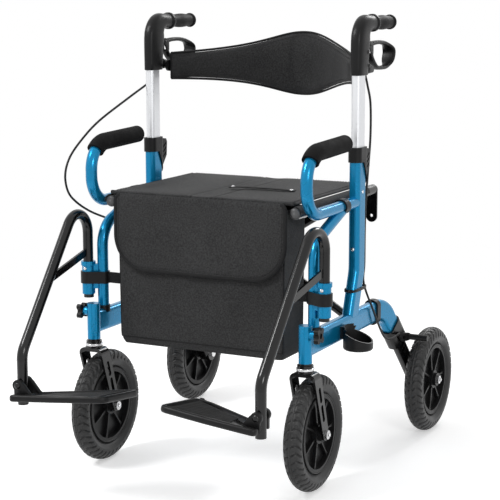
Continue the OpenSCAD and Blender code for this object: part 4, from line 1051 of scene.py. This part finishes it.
# %% Levers
LOOP = ((16, 911), (40, 914), (75, 914.5), (104, 911), (126, 903), (134, 892), (129, 877), (119, 865), (104, 859.5),
        (75, 859), (52, 861.5), (30, 876), (17, 890))
CHEEK = ((-2, 911, 3), (0, 911, 6), (6, 909, 10), (14, 902, 15.5), (21, 901, 14))
for side, s in SIDES:
    line = smooth_line([mm(s * FRAME_X, y, z) for y, z in LOOP], 6)
    rows = []
    for k, here in enumerate(line):
        way = heading(line, k).normalized()
        share = k / (len(line) - 1)
        paddle = math.exp(-((share - 0.44) / 0.14) ** 4)
        rows.append((here, ACROSS_X, way.cross(Vector(ACROSS_X)), 8 + 7.5 * paddle, 4.3 - 0.9 * paddle, 3.2))
    parts = [loft(rows, 20)]
    for off in (-6.4, 6.4):
        parts.append(loft([(mm(s * FRAME_X + off, y, z), ACROSS_X, UP_Z, 1.9, high, 3.0) for y, z, high in CHEEK]))
    parts.append(turned(pin_profile(3), mm(s * FRAME_X - 9, 6, PIN_Z), ACROSS_X, 16))
    lever = make_piece(side + "_lever_loop", join(parts), side + "_lever", "black_plastic")
    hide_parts(side + "_brake_lever")
print("lever faces:", len(lever.data.polygons))

# %% [markdown]
# ## Small hardware
# What is left is small: grey caps on the seat rails' front ends, bolts through the sockets and uprights, plugs on the
# handle housings, nuts on the axles, steel rings on the caster stems and a tie that holds the right cable. All but
# the tie are turned from a profile of radius and height. Turned in only six steps, it becomes a hexagonal nut.

# %% Caps, bolts and plugs
DOME = ((0.0, 3.2), (3.0, 2.9), (5.2, 1.9), (6.2, 0.6), (6.2, -0.8), (0.0, -0.8))
CAP = ((0.0, 5.2), (6.0, 4.9), (10.2, 3.4), (12.2, 0.8), (12.2, 0.1), (0.0, 0.1))
BOLT_SCALE = 0.62
for side, s in SIDES:
    outward = (s, 0, 0)
    cap = turned(CAP, mm(s * RAIL_X, -284.2, RAIL_Z), TO_FRONT, 32)
    make_piece(side + "_rail_cap", cap, side + "_brace", "black_plastic", grey_cap)
    bolts = [
        turned(DOME, mm(s * 281, -294.2, 430), TO_FRONT, scale=BOLT_SCALE),
        turned(DOME, mm(s * FRAME_X, -64.7, 477), TO_FRONT, scale=BOLT_SCALE),
        turned(DOME, mm(s * 264.6, -42, 600), outward, scale=BOLT_SCALE),
    ]
    make_piece(side + "_frame_bolts", join(bolts), side + "_frame", "steel")
    plugs = [
        turned(DOME, mm(s * 266.6, -24, 897), outward, scale=0.8),
        turned(DOME, mm(s * 266.2, -16, 868), outward, scale=0.6),
    ]
    make_piece(side + "_housing_plugs", join(plugs), side + "_handle", "black_plastic", finishes["black_metal"])
print("bolts a side:", len(bolts))

# %% Nuts and stem rings
NUT = ((0.0, 8.0), (3.4, 8.0), (4.0, 7.4), (4.0, 5.6), (8.0, 5.4), (9.2, 4.6), (9.2, 0.4), (0.0, 0.4))
RING = ((13.6, 266.2), (18.2, 266.2), (18.7, 267), (18.7, 270.6), (18.2, 271.4), (13.6, 271.4))
STEM_Y = -308.0
for side, s in SIDES:
    for axle, body in (("front_axle", "caster"), ("rear_axle", "frame")):
        low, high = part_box(side + "_" + axle)
        ends = []
        for end in (-1, 1):
            if axle == "rear_axle" and end != s:
                continue
            spot = (low + high) / 2
            spot.x = (high.x if end > 0 else low.x) - end * 0.003
            ends.append(turned(NUT, spot, (end, 0, 0), 6, scale=0.8))
            ends.append(turned(DOME, spot + Vector((end * 0.0058, 0, 0)), (end, 0, 0), scale=BOLT_SCALE))
        make_piece(side + "_" + axle + "_nut", join(ends), side + "_" + body, "steel", smooth=False)
    ring = turned(RING, mm(s * FRAME_X, STEM_Y, 0), UP_Z, 40)
    make_piece(side + "_stem_ring", ring, side + "_caster", "steel")
print("nuts on the front and rear axles, rings on the stems")

# %% Cable tie
TIE_Z, TIE_Y = 389.0, -47.0


def tie_loop(half_y, half_x, low, high, thick, around=64):
    verts = []
    for grow, z in ((0, low), (thick, low), (thick, high), (0, high)):
        for c, s in circle(around):
            verts.append(mm(FRAME_X + (half_x + grow) * math.copysign(abs(c) ** 0.5, c),
                            TIE_Y + (half_y + grow) * math.copysign(abs(s) ** 0.5, s), z))
    return verts, rings_to_faces(4, around, "joined")


TIE_END = ((252, -36, 0), (257, -44, 1), (263, -54, 1))
tie_end = tube([mm(x, TIE_Y + y, TIE_Z + z) for x, y, z in TIE_END], 0.0022, 8)
tie = join([tie_loop(36.5, 13.4, TIE_Z - 3, TIE_Z + 3, 1.6), tie_end])
make_piece("right_cable_tie", tie, "right_frame", "black_plastic")
print("tie at", TIE_Z, "mm")

# %% [markdown]
# ## Footplates
# A footplate is a moulded tray with rounded edges, a smooth border and a ribbed mat let into it. Two lugs straddle
# the hanger's foot. The tray is a stack of the same rounded outline, drawn in a little at its top and bottom.

# %% Footplate outlines
PLATE = ((11, -40, 12), (-100, -39, 30), (-208, -29, 20), (-208, 115, 16), (-172, 115, 26), (-17, 37, 8),
         (-17, -21, 3), (11, -21, 4))
MAT = ((-49.5, -27.5), (-186.0, -20.5), (-186.0, 96.0), (-62.0, 30.0))
TRAY = ((6.0, -34.0), (3.0, -33.6), (1.2, -32.4), (0.2, -30.4), (0.0, -28.0), (0.0, -25.0), (0.4, -22.8),
        (1.6, -21.0), (3.6, -20.1), (5.0, -20.0), (9.0, -20.0), (10.2, -20.6), (10.6, -22.0))
LUG = ((8, -28), (-35, -28), (-35, -20), (-30, -16), (-14, 3))
PIN_X, PIN_Y, PIN_HIGH = 270.6, -550.8, 235.0
lug_lay = Matrix.Rotation(math.radians(-2.2), 4, "Z")
lay = lug_lay @ Matrix.Rotation(math.radians(5), 4, "Y") @ Matrix.Rotation(math.radians(-8), 4, "X")


def rounded_polygon(corners, steps=10):
    line = []
    for k, (x, y, r) in enumerate(corners):
        here = Vector((x, y))
        before = (Vector(corners[k - 1][:2]) - here).normalized()
        after = (Vector(corners[(k + 1) % len(corners)][:2]) - here).normalized()
        for step in range(steps + 1):
            q = step / steps
            line.append(here + before * r * (1 - q) ** 2 + after * r * q ** 2)
    return line


def drawn_in(line, distance):
    turned_left = sum(a.x * b.y - a.y * b.x for a, b in zip(line, line[1:] + line[:1])) > 0
    hand = 1 if turned_left else -1
    moved = []
    for k, here in enumerate(line):
        way = (line[(k + 1) % len(line)] - line[k - 1]).normalized()
        moved.append(here + Vector((-way.y, way.x)) * distance * hand)
    return moved


def plate_point(s, turn, x, y, z):
    local = turn @ Vector((x, y, z))
    return mm(s * (PIN_X + local.x), PIN_Y + local.y, PIN_HIGH + local.z)


print("outline corners:", len(PLATE))

# %% Footplates and mats
RIBS, MAT_Z = 11, -21.4
LUG_ROWS = ((1.4, -4.5), (0.4, -4.1), (0.0, -3.1), (0.0, 3.1), (0.4, 4.1), (1.4, 4.5))


def mat_surface(s):
    def surface(u, v):
        a, b = (u + 1) / 2, (v + 1) / 2
        near = Vector(MAT[0]).lerp(Vector(MAT[3]), b)
        far = Vector(MAT[1]).lerp(Vector(MAT[2]), b)
        flat = near.lerp(far, a)
        rib = 0.45 * max(0.0, math.sin(2 * math.pi * RIBS * a)) * (1 if 0.03 < b < 0.97 else 0)
        return plate_point(s, lay, flat.x, flat.y, MAT_Z + rib)

    return surface


for side, s in SIDES:
    outline_2d = rounded_polygon(PLATE)
    verts = []
    for inset, z in TRAY:
        verts += [plate_point(s, lay, q.x, q.y, z) for q in drawn_in(outline_2d, inset)]
    parts = [(verts, rings_to_faces(len(TRAY), len(outline_2d)))]
    arc = [(12 * math.cos(math.radians(a)), 12 * math.sin(math.radians(a))) for a in range(150, -46, -15)]
    profile = [Vector(q) for q in LUG + tuple(arc)]
    for y in (-16.5, 16.5):
        verts = []
        for inset, off in LUG_ROWS:
            verts += [plate_point(s, lug_lay, q.x, y + off, q.y) for q in drawn_in(profile, inset)]
        parts.append((verts, rings_to_faces(len(LUG_ROWS), len(profile))))
    tray = make_piece(side + "_plate_tray", join(parts), side + "_plate", "black_plastic")
    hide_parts(side + "_footplate")
    mat = panel(mat_surface(s), lambda u, v: 0.001, 88, 20)
    make_piece(side + "_plate_mat", mat, side + "_plate", "black_plastic", tread_mat)
    head = turned(DOME, plate_point(s, lug_lay, 0, -20.8, 0), TO_FRONT, scale=1.15)
    make_piece(side + "_plate_bolt", head, side + "_plate", "black_metal")
print("footplate faces:", len(tray.data.polygons))
